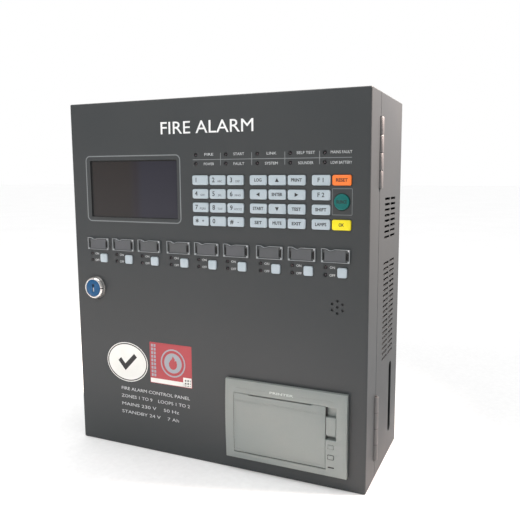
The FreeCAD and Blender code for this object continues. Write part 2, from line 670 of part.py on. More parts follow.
def key(label, x, z, width="key_width", height="key_height", radius="key_radius", round_cap=False):
    body = doc.addObject("PartDesign::Body", label.title().replace("_", ""))
    cap(body, width, height, radius, round_cap)
    stem = circles(body, "StemOutline", "XZ_Plane", KEY_BACK, [("0", "0")], "key_stem_radius")
    last = pad(body, "Stem", stem, "%s - %s - key_travel_room" % (BOARD_Y, KEY_BACK))
    fillet(body, "FrontEdge", last, lambda edge: lies_on_y(edge, -value("key_proud")), "key_edge")
    node(label, body, x, "0", z)


def keys():
    for block, x in ((DIGIT_KEYS, "digit_x"), (FUNCTION_KEYS, "function_x"), (F_KEYS, "f_column_x")):
        for row, names in enumerate(block):
            for column, label in enumerate(names):
                key(label, "%s + key_pitch_x * %d" % (x, column),
                    "key_low_z + key_pitch_z * %d" % (KEY_ROWS - 1 - row))
    key("key_reset", "command_x", "key_low_z + key_pitch_z * %d" % (KEY_ROWS - 1))
    key("key_silence", "command_x", "silence_z", radius="silence_radius", round_cap=True)
    key("key_confirm", "command_x", "key_low_z")
    for zone in range(ZONE_GROUPS * ZONES_IN_GROUP):
        key("zone_button_%d" % (zone + 1), zone_x(zone), "zone_z", "zone_button_size", "zone_button_size",
            "zone_button_radius")


def label_holders():
    """Clip-on frames on the door's face, with a label window and a thumb notch in the top edge."""
    holders = []
    for zone in range(ZONE_GROUPS * ZONES_IN_GROUP):
        name = "Holder%d" % (zone + 1)
        left = "%s - holder_shift - holder_width / 2" % zone_x(zone)
        low = "holder_z - holder_height / 2"
        frame = box(name + "Frame", left, "-holder_proud", low, "holder_width", "holder_proud", "holder_height")
        recess = box(name + "Recess", left + " + holder_rim", "-holder_proud - cutter_margin",
                     low + " + holder_rim", "holder_width - 2 * holder_rim",
                     "holder_recess + cutter_margin", "holder_height - 2 * holder_rim")
        notch = cylinder(name + "Notch", left + " + holder_width / 2", "-holder_proud - cutter_margin",
                         "holder_z + holder_height / 2 + notch_radius - notch_depth", "notch_radius",
                         "holder_proud + 2 * cutter_margin", AXIS_Y)
        holders.append(cut(name, frame, [recess, notch]))
    node("label_holders", group("LabelHolders", holders))


def posts(name, xs, zs, start, length):
    return [cylinder("%sPost%d%d" % (name, column, row), x, start, z, "post_radius", length, AXIS_Y)
            for column, x in enumerate(xs) for row, z in enumerate(zs)]


def control_board():
    width = "(cabinet_width - board_left - board_right)"
    board = box("ControlBoardSheet", "board_left", BOARD_Y, "board_low", width, "board_thickness",
                "board_high - board_low")
    feet = posts("Control", ["board_left + post_inset", "middle_post_x", "board_left + %s - post_inset" % width],
                 ["board_low + post_inset - 1", "board_high - post_inset + 1"], "sheet", "%s - sheet" % BOARD_Y)
    node("control_board", fuse("ControlBoard", [board] + feet))


# ---------- printer, modelled from the lower left corner of its bezel ----------

BEZEL_BOW = "((bezel_height / 2)^2 + bezel_crown^2) / (2 * bezel_crown)"
BEZEL_FRONT = "(bezel_edge + bezel_crown)"
PAPER_DOOR_LEFT = "(bay_left + door_gap)"
PAPER_DOOR_LOW = "(bay_low + door_gap)"
PAPER_DOOR_HINGE_Y = "(-paper_door_back - paper_door_round)"
PAPER_DOOR_HINGE_Z = "(%s + paper_door_round)" % PAPER_DOOR_LOW
LATCH_WELL_LEFT = "(latch_left - latch_gap)"
LATCH_WELL_WIDTH = "(latch_width + 2 * latch_gap)"


def bowed(name, x, z, width, height, back):
    """A block from y = back out to the bezel's bowed face."""
    block = box(name + "Block", x, "-" + BEZEL_FRONT, z, width, "%s + %s" % (BEZEL_FRONT, back), height)
    bow = cylinder(name + "Bow", x, "-%s + %s" % (BEZEL_FRONT, BEZEL_BOW), "bezel_height / 2", BEZEL_BOW, width,
                   AXIS_X)
    face = doc.addObject("Part::Common", name)
    face.Base = block
    face.Tool = bow
    return face


def printer_housing():
    bezel = bowed("Bezel", "0", "0", "bezel_width", "bezel_height", "0")
    case = box("PrinterCase", "bezel_overlap", "0", "bezel_overlap", "bezel_width - 2 * bezel_overlap",
               "printer_depth", "bezel_height - 2 * bezel_overlap")
    bay = box("PaperBay", "bay_left", "-" + BEZEL_FRONT, "bay_low", "bay_width",
              "%s + printer_depth - printer_wall" % BEZEL_FRONT, "bay_height")
    well = box("LatchWell", LATCH_WELL_LEFT, "-" + BEZEL_FRONT, "latch_low - latch_well_below", LATCH_WELL_WIDTH,
               "%s - paper_door_back + 0.6" % BEZEL_FRONT, "latch_height + latch_well_below + latch_gap")
    scoop = box("FingerScoop", LATCH_WELL_LEFT, "-" + BEZEL_FRONT, "latch_low + latch_height", LATCH_WELL_WIDTH,
                "scoop_depth + bezel_crown / 2", "scoop_height")
    tools = [bay, well, scoop]
    for name, low in (("FeedKeyHole", "feed_key_low"), ("SelectKeyHole", "select_key_low")):
        tools.append(box(name, "printer_key_left - printer_key_clearance", "-" + BEZEL_FRONT,
                         low + " - printer_key_clearance", "printer_key_width + 2 * printer_key_clearance",
                         "%s + printer_key_depth + printer_key_room" % BEZEL_FRONT,
                         "printer_key_height + 2 * printer_key_clearance"))
    tools.append(cylinder("TrunnionBores", "bay_left - trunnion_length - trunnion_clearance", PAPER_DOOR_HINGE_Y,
                          PAPER_DOOR_HINGE_Z, "trunnion_radius + trunnion_clearance",
                          "bay_width + 2 * trunnion_length + 2 * trunnion_clearance", AXIS_X))
    node("printer_housing", cut("PrinterHousing", fuse("HousingSolid", [bezel, case]), tools),
         "bezel_left", "0", "bezel_low")


def rounded_foot(name, x, z, width, height, foot_z):
    """A lid with a bowed face and a lower edge that is round about its hinge axis."""
    plate = bowed(name + "Plate", x, z, width, height, "-paper_door_back")
    upper = box(name + "Upper", x, "-" + BEZEL_FRONT, foot_z, width, BEZEL_FRONT, height)
    flat = doc.addObject("Part::Common", name + "Flat")
    flat.Base = plate
    flat.Tool = upper
    foot = cylinder(name + "Foot", x, PAPER_DOOR_HINGE_Y, foot_z, "paper_door_round", width, AXIS_X)
    return [flat, foot]


def printer_lids():
    width = "(bay_width - 2 * door_gap)"
    height = "(bay_height - 2 * door_gap)"
    solids = rounded_foot("PaperDoor", PAPER_DOOR_LEFT, PAPER_DOOR_LOW, width, height, PAPER_DOOR_HINGE_Z)
    trunnions = cylinder("Trunnions", "bay_left - trunnion_length + trunnion_clearance", PAPER_DOOR_HINGE_Y,
                         PAPER_DOOR_HINGE_Z, "trunnion_radius",
                         "bay_width + 2 * trunnion_length - 2 * trunnion_clearance", AXIS_X)
    slot = box("PaperSlot", PAPER_DOOR_LEFT + " + paper_slot_left", "-" + BEZEL_FRONT,
               "%s + %s - paper_slot_height" % (PAPER_DOOR_LOW, height), "paper_slot_width", BEZEL_FRONT,
               "paper_slot_height")
    node("printer_door", cut("PrinterDoor", fuse("PaperDoorSolid", solids + [trunnions]), [slot]),
         "bezel_left", "0", "bezel_low")
    lever = rounded_foot("Latch", "latch_left", "latch_low", "latch_width", "latch_height",
                         "latch_low + paper_door_round")
    node("printer_latch", fuse("PrinterLatch", lever), "bezel_left", "0", "bezel_low")


def printer_keys():
    for label, low in (("printer_feed_button", "feed_key_low"), ("printer_select_button", "select_key_low")):
        body = doc.addObject("PartDesign::Body", label.title().replace("_", ""))
        front = "-(%s + printer_key_proud)" % BEZEL_FRONT
        outline = rounded_rectangle(body, "ButtonOutline", "XZ_Plane", front, "0", "0", "printer_key_width",
                                    "printer_key_height", "printer_key_width / 6")
        pad(body, "Button", outline, "%s + printer_key_proud + printer_key_depth" % BEZEL_FRONT)
        node(label, body, "bezel_left + printer_key_left", "0", "bezel_low + " + low)


def paper_roll():
    roll = cylinder("Roll", "0", "0", "0", "roll_radius", "roll_width", AXIS_X)
    core = cylinder("RollCore", "0", "0", "0", "roll_core_radius", "roll_width", AXIS_X)
    node("paper_roll", cut("PaperRoll", roll, [core]), "bezel_left + bay_left + (bay_width - roll_width) / 2",
         "roll_depth", "bezel_low + bay_low + roll_radius + roll_gap")


# ---------- inside the box ----------

BACK_WALL = "(cabinet_depth - sheet)"


def loop_board():
    front = "(%s - loop_standoff - board_thickness)" % BACK_WALL
    board = box("LoopBoardSheet", "loop_left", front, "loop_low", "loop_width", "board_thickness", "loop_height")
    feet = posts("Loop", ["loop_left + post_inset", "loop_left + loop_width - post_inset"],
                 ["loop_low + post_inset", "loop_low + loop_height - post_inset"],
                 "%s + board_thickness" % front, "loop_standoff")
    node("loop_board", fuse("LoopBoard", [board] + feet))


def power_supply():
    body = doc.addObject("PartDesign::Body", "PowerSupply")
    outline = rectangle(body, "SupplyOutline", "XZ_Plane", "0", "0", "0", "supply_width", "supply_height")
    block = pad(body, "Supply", outline, "supply_depth")
    fillet(body, "SupplyCover", block, lambda edge: lies_on_y(edge, 0), "supply_skin")
    node("power_supply", body, "supply_left", "%s - supply_depth" % BACK_WALL, "supply_low")


def batteries():
    cases = []
    for number in range(2):
        name = "Battery%d" % (number + 1)
        left = "(battery_left + (battery_width + battery_gap) * %d)" % number
        front = "%s - battery_depth" % BACK_WALL
        case = box(name + "Case", left, front, "sheet", "battery_width", "battery_depth", "battery_height")
        ends = ["%s + terminal_inset" % left, "%s + battery_width - terminal_inset - terminal_size" % left]
        tabs = [box("%sTerminal%d" % (name, side), end, front + " + terminal_inset", "sheet + battery_height",
                    "terminal_size", "terminal_size", "terminal_height") for side, end in enumerate(ends)]
        cases.append(fuse(name, [case] + tabs))
    node("batteries", group("Batteries", cases))


def check():
    """Stops before anything is written if an object failed or a sub-part has no valid shape."""
    failed = [thing.Name for thing in doc.Objects if "Invalid" in thing.State or "Error" in thing.State]
    if failed:
        raise RuntimeError("failed objects: %s" % failed)
    for part in nodes:
        if part.Shape.isNull() or not part.Shape.isValid():
            raise RuntimeError("no valid shape: %s" % part.Label)
        if part.Shape.Volume <= 0:
            raise RuntimeError("no volume: %s" % part.Label)


rear_box()
door_panel()
hinges()
lock()
display_window()
keys()
label_holders()
control_board()
printer_housing()
printer_lids()
printer_keys()
paper_roll()
loop_board()
power_supply()
batteries()
doc.recompute()
check()
os.makedirs("parts", exist_ok=True)
for part in nodes:
    part.Shape.exportStep("parts/%s.step" % part.Label)
    print("%-24s %10.1f mm3, %d solid(s)" % (part.Label, part.Shape.Volume, len(part.Shape.Solids)))
print("%d sub-parts" % len(nodes))
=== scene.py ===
import json
import math

import bmesh
import bpy
from mathutils import Matrix, Vector
from mathutils.bvhtree import BVHTree


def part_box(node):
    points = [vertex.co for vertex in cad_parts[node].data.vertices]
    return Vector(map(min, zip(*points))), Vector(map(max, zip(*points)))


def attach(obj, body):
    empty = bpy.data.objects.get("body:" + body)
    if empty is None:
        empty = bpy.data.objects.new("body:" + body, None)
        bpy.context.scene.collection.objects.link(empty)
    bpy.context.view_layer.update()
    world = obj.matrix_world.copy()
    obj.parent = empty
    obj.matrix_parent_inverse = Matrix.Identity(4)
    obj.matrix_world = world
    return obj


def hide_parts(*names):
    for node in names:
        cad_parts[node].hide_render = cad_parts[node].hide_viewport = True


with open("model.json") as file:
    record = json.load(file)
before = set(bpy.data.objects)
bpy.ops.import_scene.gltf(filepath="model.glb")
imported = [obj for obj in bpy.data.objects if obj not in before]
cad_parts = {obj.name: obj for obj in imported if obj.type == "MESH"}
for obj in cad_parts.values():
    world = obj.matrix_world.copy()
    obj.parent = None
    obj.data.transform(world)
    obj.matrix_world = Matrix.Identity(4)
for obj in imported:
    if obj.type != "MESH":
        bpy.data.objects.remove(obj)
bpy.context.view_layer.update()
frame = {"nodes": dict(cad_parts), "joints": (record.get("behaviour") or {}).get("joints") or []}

mm = 0.001
scene = bpy.context.scene
scene.view_settings.view_transform = "Standard"
doorLow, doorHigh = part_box("door_panel")
boxLow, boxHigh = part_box("rear_box")
faceY = doorLow.y            # outer face of the door, which looks along -Y
towardFront = Vector((0, 1, 0))


# ---- camera, light and floor ----

camera = {
    "place": (0.31691, -0.67955, 0.11588),
    "turn": (82.785, 0.029, 22.691),
    "lens": 39.966,
    "shift": (-0.04705, -0.01426),
}

lights = {
    "sky": 0.5,
    "overhead": (1.9, 50),       # strength and softness in degrees
    "softboxes": [               # name, place, aim, size, watts, colour, spread
        ("keyLight", (-0.75, -1.5, 1.2), (0.0, -0.1, 0.0), 0.8, 12.2, (1.0, 0.99, 0.98), 180),
        ("sideLight", (0.6, 0.1, 0.71), (0.18, -0.02, 0.34), 0.25, 7.2, (1.0, 0.82, 0.75), 55),
    ],
    "floorSize": 60.0,
}


def placeCamera():
    data = bpy.data.cameras.new("Camera")
    data.lens = camera["lens"]
    data.sensor_width = 36
    data.shift_x, data.shift_y = camera["shift"]
    data.clip_start = 0.01
    view = bpy.data.objects.new("Camera", data)
    view.location = camera["place"]
    view.rotation_euler = [math.radians(turn) for turn in camera["turn"]]
    scene.collection.objects.link(view)
    scene.camera = view


def placeLights():
    world = bpy.data.worlds.new("studio")
    world.use_nodes = True
    tree = world.node_tree
    sky = tree.nodes["Background"]
    sky.inputs["Color"].default_value = (1, 1, 1, 1)
    seen = addNode(tree, "ShaderNodeLightPath").outputs["Is Camera Ray"]      # the backdrop itself stays white
    strength = addNode(tree, "ShaderNodeMapRange", Value=seen, To_Min=lights["sky"], To_Max=1.0)
    tree.links.new(strength.outputs["Result"], sky.inputs["Strength"])
    scene.world = world
    for name, place, aim, size, watts, colour, spread in lights["softboxes"]:
        data = bpy.data.lights.new(name, "AREA")
        data.shape = "DISK"
        data.size = size
        data.energy = watts
        data.color = colour
        data.spread = math.radians(spread)
        lamp = bpy.data.objects.new(name, data)
        lamp.location = place
        lamp.rotation_euler = (Vector(aim) - Vector(place)).to_track_quat("-Z", "Y").to_euler()
        lamp.visible_camera = False
        scene.collection.objects.link(lamp)
    data = bpy.data.lights.new("overhead", "SUN")
    data.energy, softness = lights["overhead"]
    data.angle = math.radians(softness)
    scene.collection.objects.link(bpy.data.objects.new("overhead", data))


# ---- materials ----

def shade(red, green, blue):
    """sRGB numbers from 0 to 255, as linear light."""
    return tuple(((c / 255 + 0.055) / 1.055) ** 2.4 if c > 10 else c / 255 / 12.92 for c in (red, green, blue)) + (1,)


def addNode(tree, kind, **given):
    """A node whose inputs are set or linked by name, with _ for a space."""
    made = tree.nodes.new(kind)
    for name, value in given.items():
        socket = made.inputs[name.replace("_", " ")]
        if isinstance(value, bpy.types.NodeSocket):
            tree.links.new(value, socket)
        else:
            socket.default_value = value
    return made


def blended(tree, factor, first, second):
    mix = tree.nodes.new("ShaderNodeMix")
    mix.data_type = "RGBA"
    for index, value in ((0, factor), (6, first), (7, second)):
        if isinstance(value, bpy.types.NodeSocket):
            tree.links.new(value, mix.inputs[index])
        else:
            mix.inputs[index].default_value = value
    return mix.outputs[2]


def finish(name, colour, second=None, rough=(0.4, 0.5), cloud=25, grain=1200, stretch=(1, 1, 1), bump=0.1,
           depth=0.05, **shader):
    """A material whose colour and roughness drift slowly over the object, with a fine grain in its surface."""
    material = bpy.data.materials.new(name)
    material.use_nodes = True
    tree = material.node_tree
    surface = tree.nodes["Principled BSDF"]
    place = addNode(tree, "ShaderNodeTexCoord").outputs["Object"]
    along = addNode(tree, "ShaderNodeMapping", Vector=place, Scale=stretch).outputs["Vector"]
    clouds = addNode(tree, "ShaderNodeTexNoise", Vector=place, Scale=cloud, Detail=4).outputs["Fac"]
    fine = addNode(tree, "ShaderNodeTexNoise", Vector=along, Scale=grain, Detail=2).outputs["Fac"]
    spread = addNode(tree, "ShaderNodeMapRange", Value=clouds, From_Min=0.3, From_Max=0.7).outputs["Result"]
    other = second or tuple(c * 0.93 for c in colour)
    tint = blended(tree, spread, shade(*colour), shade(*other))
    speckle = addNode(tree, "ShaderNodeMapRange", Value=fine, From_Min=0.3, From_Max=0.7, To_Min=0, To_Max=0.12)
    darker = shade(*(c * 0.8 for c in colour))
    tree.links.new(blended(tree, speckle.outputs["Result"], tint, darker), surface.inputs["Base Color"])
    dull = addNode(tree, "ShaderNodeMapRange", Value=clouds, From_Min=0.3, From_Max=0.7, To_Min=rough[0],
                   To_Max=rough[1])
    tree.links.new(dull.outputs["Result"], surface.inputs["Roughness"])
    relief = addNode(tree, "ShaderNodeBump", Height=fine, Strength=bump, Distance=depth * mm)
    tree.links.new(relief.outputs["Normal"], surface.inputs["Normal"])
    for socket, value in shader.items():
        surface.inputs[socket.replace("_", " ")].default_value = value
    return material


def screenGlass():
    """Smoked pane over the dark display, with a painted reflection on it: brownish at its left, violet at its right."""
    material = finish("smokedPane", (44, 40, 38), rough=(0.16, 0.24), cloud=9, grain=300, bump=0.02,
                      Specular_IOR_Level=0.45)
    tree = material.node_tree
    surface = tree.nodes["Principled BSDF"]
    low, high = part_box("display_window")
    place = addNode(tree, "ShaderNodeTexCoord").outputs["Object"]
    across = addNode(tree, "ShaderNodeSeparateXYZ", Vector=place).outputs["X"]
    fade = addNode(tree, "ShaderNodeMapRange", Value=across, From_Min=low.x * 0.55 + high.x * 0.45,
                   From_Max=low.x * 0.4 + high.x * 0.6).outputs["Result"]
    clouds = addNode(tree, "ShaderNodeTexNoise", Vector=place, Scale=9, Detail=2).outputs["Fac"]
    # painted reflection: brownish tones on the pane's left, violet ones on its right
    warmReflection = blended(tree, clouds, shade(40, 35, 33), shade(34, 30, 30))
    coolReflection = blended(tree, clouds, shade(35, 35, 43), shade(38, 37, 49))
    edge = addNode(tree, "ShaderNodeMath", Value=fade)         # a darker painted band where the two painted reflections meet
    edge.operation = "PINGPONG"
    edge.inputs[1].default_value = 0.5
    paintedReflectionBand = addNode(tree, "ShaderNodeMapRange", Value=edge.outputs["Value"], From_Min=0.2, From_Max=0.5, To_Min=0,
                   To_Max=0.6).outputs["Result"]
    tint = blended(tree, fade, warmReflection, coolReflection)
    tree.links.new(blended(tree, paintedReflectionBand, tint, shade(34, 28, 34)), surface.inputs["Base Color"])
    return material


def boardGreen():
    """Solder mask with paler copper tracks under it."""
    material = finish("boardGreen", (22, 84, 52), (18, 70, 46), rough=(0.3, 0.4), cloud=40, bump=0.03)
    tree = material.node_tree
    surface = tree.nodes["Principled BSDF"]
    place = addNode(tree, "ShaderNodeTexCoord").outputs["Object"]
    turned = addNode(tree, "ShaderNodeMapping", Vector=place, Rotation=(math.radians(90), 0, 0)).outputs["Vector"]
    tracks = addNode(tree, "ShaderNodeTexBrick", Vector=turned, Scale=1, Mortar_Size=0.0002,
                     Brick_Width=0.011, Row_Height=0.0018).outputs["Fac"]
    under = surface.inputs["Base Color"].links[0].from_socket
    tree.links.new(blended(tree, tracks, under, shade(52, 128, 78)), surface.inputs["Base Color"])
    return material


def makeFinishes():
    return {
        "paint": finish("cabinetPaint", (49, 53, 55), (52, 55, 56), rough=(0.42, 0.54), cloud=7, grain=1500,
                        bump=0.16, Specular_IOR_Level=0.42),
        "key": finish("keyPlastic", (171, 183, 191), (167, 180, 187), rough=(0.36, 0.46), grain=900, bump=0.05),
        "orange": finish("orangePlastic", (248, 124, 46), rough=(0.32, 0.42), bump=0.05),
        "green": finish("greenPlastic", (0, 100, 96), rough=(0.36, 0.46), bump=0.05,
                        Specular_IOR_Level=0.3),
        "yellow": finish("yellowPlastic", (240, 222, 14), rough=(0.32, 0.42), bump=0.05),
        "ink": finish("darkInk", (16, 17, 20), rough=(0.5, 0.6), bump=0.02),
        "greyInk": finish("greyInk", (84, 88, 94), rough=(0.5, 0.6), bump=0.02),
        "white": finish("whiteInk", (236, 238, 238), rough=(0.45, 0.55), bump=0.02),
        "legend": finish("legendInk", (196, 200, 201), rough=(0.45, 0.55), bump=0.02),
        "paleWord": finish("paleWord", (196, 203, 199), rough=(0.45, 0.55), bump=0.02),
        "rule": finish("paleInk", (122, 127, 129), rough=(0.45, 0.55), bump=0.02),
        "chrome": finish("chromePlate", (214, 211, 208), rough=(0.2, 0.32), cloud=60, bump=0.03, Metallic=1.0),
        "steel": finish("zincSteel", (176, 172, 166), (160, 156, 150), rough=(0.26, 0.4), grain=900,
                        stretch=(1, 1, 0.06), bump=0.14, Metallic=1.0),
        "hinge": finish("hingeSteel", (110, 109, 109), (104, 103, 103), rough=(0.38, 0.48), grain=900,
                        stretch=(1, 1, 0.08), bump=0.12, Metallic=0.35),
        # the pins' own steel, darkened as painted shade where they show at the hinge ends and knuckle gaps
        "pin": finish("pinSteelWithShade", (58, 54, 52), rough=(0.4, 0.5), bump=0.03, Metallic=0.6),
        "blue": finish("bluePlastic", (0, 76, 122), rough=(0.3, 0.4), bump=0.04, Specular_IOR_Level=0.35),
        "black": finish("blackPlastic", (24, 24, 26), rough=(0.42, 0.55), bump=0.1),
        "printer": finish("printerPlastic", (127, 134, 132), (131, 136, 133), rough=(0.4, 0.5), cloud=16,
                          grain=1300, bump=0.12),
        "shadow": finish("darkGap", (14, 14, 15), rough=(0.7, 0.8), bump=0.02),
        "holder": finish("clearPlastic", (84, 87, 88), rough=(0.14, 0.22), cloud=40, grain=500, bump=0.03,
                         Transmission_Weight=0.3, IOR=1.49),
        # pale colour for the holders' rims and corner blocks: painted highlight on the clear plastic's edges
        "holderEdgeHighlight": finish("clearEdgeHighlight", (166, 171, 174), rough=(0.16, 0.26), cloud=40, grain=500, bump=0.03,
                             IOR=1.49),
        "card": finish("labelCard", (74, 77, 78), (84, 86, 91), rough=(0.6, 0.7), bump=0.1),
        "lens": finish("smokedLens", (58, 50, 54), rough=(0.12, 0.2), bump=0.02, Transmission_Weight=0.25),
        "pane": screenGlass(),
        "board": boardGreen(),
        "paper": finish("rollPaper", (232, 230, 224), rough=(0.8, 0.9), grain=2500, stretch=(0.2, 1, 1), bump=0.25),
        "supply": finish("supplySteel", (186, 188, 186), rough=(0.34, 0.46), grain=700, stretch=(0.08, 1, 1),
                         bump=0.12, Metallic=0.9),
        "battery": finish("batteryCase", (38, 40, 44), rough=(0.42, 0.56), grain=900, bump=0.18),
        "red": finish("redPlastic", (176, 26, 24), rough=(0.36, 0.48), bump=0.06),
        "label": finish("redLabel", (164, 52, 60), (156, 48, 56), rough=(0.34, 0.44), cloud=50, bump=0.03),
        "labelPale": finish("silverLabel", (146, 152, 160), rough=(0.34, 0.44), bump=0.03),
        "sticker": finish("whiteSticker", (228, 230, 226), rough=(0.36, 0.46), bump=0.03),
        "terminal": finish("terminalGreen", (34, 120, 74), rough=(0.4, 0.5), bump=0.08),
        "gold": finish("brassPlate", (206, 170, 96), rough=(0.22, 0.34), bump=0.05, Metallic=1.0),
        "floor": finish("paleFloor", (250, 250, 250), (247, 247, 247), rough=(0.7, 0.8), cloud=3, grain=200,
                        bump=0.02),
    }


# ---- mesh helpers ----

def newPiece(name, mesh, *materials):
    piece = bpy.data.objects.new(name, mesh)
    mesh.name = name
    if len(mesh.materials):
        mesh.materials.clear()
    for material in materials:
        mesh.materials.append(material)
    scene.collection.objects.link(piece)
    return piece


def shadeSmooth(mesh, angle=35):
    mesh.shade_smooth()
    mesh.set_sharp_from_angle(angle=math.radians(angle))
    return mesh


def toMesh(bm, name):
    bmesh.ops.recalc_face_normals(bm, faces=bm.faces)
    mesh = bpy.data.meshes.new(name)
    bm.to_mesh(mesh)
    bm.free()
    return mesh


def loft(rings, closed=False):
    """Skin through rings of the same number of points, with a face over each end unless the skin is closed."""
    bm = bmesh.new()
    rows = [[bm.verts.new(point) for point in ring] for ring in rings]
    pairs = list(zip(rows, rows[1:])) + ([(rows[-1], rows[0])] if closed else [])
    count = len(rows[0])
    for near, far in pairs:
        for index in range(count):
            after = (index + 1) % count
            bm.faces.new((near[index], near[after], far[after], far[index]))
    if not closed:
        bm.faces.new(rows[0])
        bm.faces.new(rows[-1])
    return shadeSmooth(toMesh(bm, "loft"))


def circleRing(centre, radius, proud, steps):
    """A ring about an axis along Y; centre is x and z, proud is how far it stands out of the door's face."""
    turns = [2 * math.pi * step / steps for step in range(steps)]
    return [(centre[0] + radius * math.cos(turn), faceY - proud, centre[1] + radius * math.sin(turn))
            for turn in turns]


def roundedRing(centre, halfWidth, halfHeight, radius, proud, steps=6):
    ring = []
    for quarter, (side, up) in enumerate(((1, 1), (-1, 1), (-1, -1), (1, -1))):
        corner = (centre[0] + side * (halfWidth - radius), centre[1] + up * (halfHeight - radius))
        for step in range(steps + 1):
            turn = math.radians(90 * (quarter + step / steps))
            ring.append((corner[0] + radius * math.cos(turn), faceY - proud, corner[1] + radius * math.sin(turn)))
    return ring


def turned(name, profile, centre, material, steps=72, closed=False):
    """A turned piece about an axis along Y; profile is radius and proud, in mm."""
    rings = [circleRing(centre, radius * mm, proud * mm, steps) for radius, proud in profile]
    return newPiece(name, loft(rings, closed), material)


def roundedLoop(left, low, width, height, radius, steps=8):
    loop = []
    for quarter, (x, y) in enumerate(((left + width - radius, low + height - radius),
                                      (left + radius, low + height - radius),
                                      (left + radius, low + radius), (left + width - radius, low + radius))):
        for step in range(steps + 1):
            turn = math.radians(90 * (quarter + step / steps))
            loop.append((x + radius * math.cos(turn), y + radius * math.sin(turn)))
    return loop


def ellipseLoop(x, y, width, height, steps=64):
    turns = [2 * math.pi * step / steps for step in range(steps)]
    return [(x + width / 2 * math.cos(turn), y + height / 2 * math.sin(turn)) for turn in turns]


def plate(loops, back, front, bevel=0.0):
    """A flat plate on the door, in mm from the door's lower left corner; loops inside the first are holes."""
    curve = bpy.data.curves.new("outline", "CURVE")
    curve.dimensions = "2D"
    curve.fill_mode = "BOTH"
    curve.extrude = (front - back) / 2 * mm - bevel * mm
    curve.bevel_depth = bevel * mm
    curve.bevel_resolution = 2
    curve.offset = -bevel * mm
    for loop in loops:
        line = curve.splines.new("POLY")
        line.points.add(len(loop) - 1)
        for point, (x, y) in zip(line.points, loop):
            point.co = (x * mm, y * mm, 0, 1)
        line.use_cyclic_u = True
    return stoodUp(curve, (front + back) / 2)


def words(text, height, centre, back=-0.02, front=0.05, bold=0.0, align="CENTER", width=None):
    """Generic lettering of the given capital height, centred on a place on the door, in mm."""
    curve = bpy.data.curves.new("words", "FONT")
    curve.body = text
    curve.size = height / 0.69 * mm
    curve.align_x = align
    curve.align_y = "CENTER"
    curve.bevel_depth = bold * mm
    curve.bevel_resolution = 0
    curve.extrude = (front - back) / 2 * mm
    curve.resolution_u = 3
    mesh = stoodUp(curve, (front + back) / 2, keepPlace=True, thickness=front - back)
    if width:
        across = [vertex.co.x for vertex in mesh.vertices]
        mesh.transform(Matrix.Diagonal((width * mm / (max(across) - min(across)), 1, 1, 1)))
    mesh.transform(Matrix.Translation((doorLow.x + centre[0] * mm, faceY, doorLow.z + centre[1] * mm)))
    return mesh


def stoodUp(curve, middle, keepPlace=False, thickness=None):
    """A flat curve as a mesh that stands in the door's plane, its thickness about middle."""
    source = bpy.data.objects.new("source", curve)
    scene.collection.objects.link(source)
    mesh = bpy.data.meshes.new_from_object(source.evaluated_get(bpy.context.evaluated_depsgraph_get()))
    bpy.data.objects.remove(source)
    bpy.data.curves.remove(curve)
    bm = bmesh.new()
    bm.from_mesh(mesh)
    bmesh.ops.remove_doubles(bm, verts=bm.verts, dist=1e-7)
    bmesh.ops.recalc_face_normals(bm, faces=bm.faces)
    bm.to_mesh(mesh)
    bm.free()
    if thickness:
        deep = [vertex.co.z for vertex in mesh.vertices]
        mesh.transform(Matrix.Diagonal((1, 1, thickness * mm / (max(deep) - min(deep)), 1)))
    mesh.transform(Matrix.Translation((0, 0, middle * mm)))
    mesh.transform(Matrix.Rotation(math.radians(90), 4, "X"))
    if not keepPlace:
        mesh.transform(Matrix.Translation((doorLow.x, faceY, doorLow.z)))
    return mesh


def joined(meshes):
    """One mesh of several; a pair of mesh and number gives that part the material of that number."""
    bm = bmesh.new()
    for entry in meshes:
        mesh, slot = entry if isinstance(entry, tuple) else (entry, 0)
        before = len(bm.faces)
        bm.from_mesh(mesh)
        bm.faces.ensure_lookup_table()
        for face in bm.faces[before:]:
            face.material_index = slot
    whole = bpy.data.meshes.new("joined")
    bm.to_mesh(whole)
    bm.free()
    return whole


def surfaceOf(mesh):
    return BVHTree.FromPolygons([vertex.co for vertex in mesh.vertices],
                                [polygon.vertices for polygon in mesh.polygons])


def laidOn(mesh, surface, longest=None):
    """Bends a flat plate over a surface behind it, keeping each point's own height over the door's face."""
    if longest:
        bm = bmesh.new()
        bm.from_mesh(mesh)
        for round in range(4):
            long = [edge for edge in bm.edges if edge.calc_length() > longest * mm]
            if not long:
                break
            bmesh.ops.subdivide_edges(bm, edges=long, cuts=1)
            bmesh.ops.triangulate(bm, faces=bm.faces)
        bm.to_mesh(mesh)
        bm.free()
    for vertex in mesh.vertices:
        hit = surface.ray_cast(Vector((vertex.co.x, faceY - 0.05, vertex.co.z)), towardFront)[0]
        if hit:
            vertex.co.y = hit.y + (vertex.co.y - faceY)
    return mesh


def softened(node, name, width, materials, segments=2, angle=32):
    """A copy of a CAD node with its edges rounded, which stands in for the node."""
    mesh = frame["nodes"][node].data.copy()
    bm = bmesh.new()
    bm.from_mesh(mesh)
    bmesh.ops.remove_doubles(bm, verts=bm.verts, dist=2e-6)
    bmesh.ops.dissolve_limit(bm, angle_limit=math.radians(1), verts=bm.verts, edges=bm.edges)
    bm.to_mesh(mesh)
    bm.free()
    piece = newPiece(name, mesh, *materials)
    bevel = piece.modifiers.new("edges", "BEVEL")
    bevel.width = width * mm
    bevel.segments = segments
    bevel.limit_method = "ANGLE"
    bevel.angle_limit = math.radians(angle)
    bevel.harden_normals = False
    smooth = bpy.data.meshes.new_from_object(piece.evaluated_get(bpy.context.evaluated_depsgraph_get()))
    piece.modifiers.clear()
    piece.data = smooth
    smooth.name = name
    shadeSmooth(smooth, 40)
    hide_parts(node)
    return piece


def riding(piece, body):
    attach(piece, body)
    return piece


# ---- geometry node helpers ----

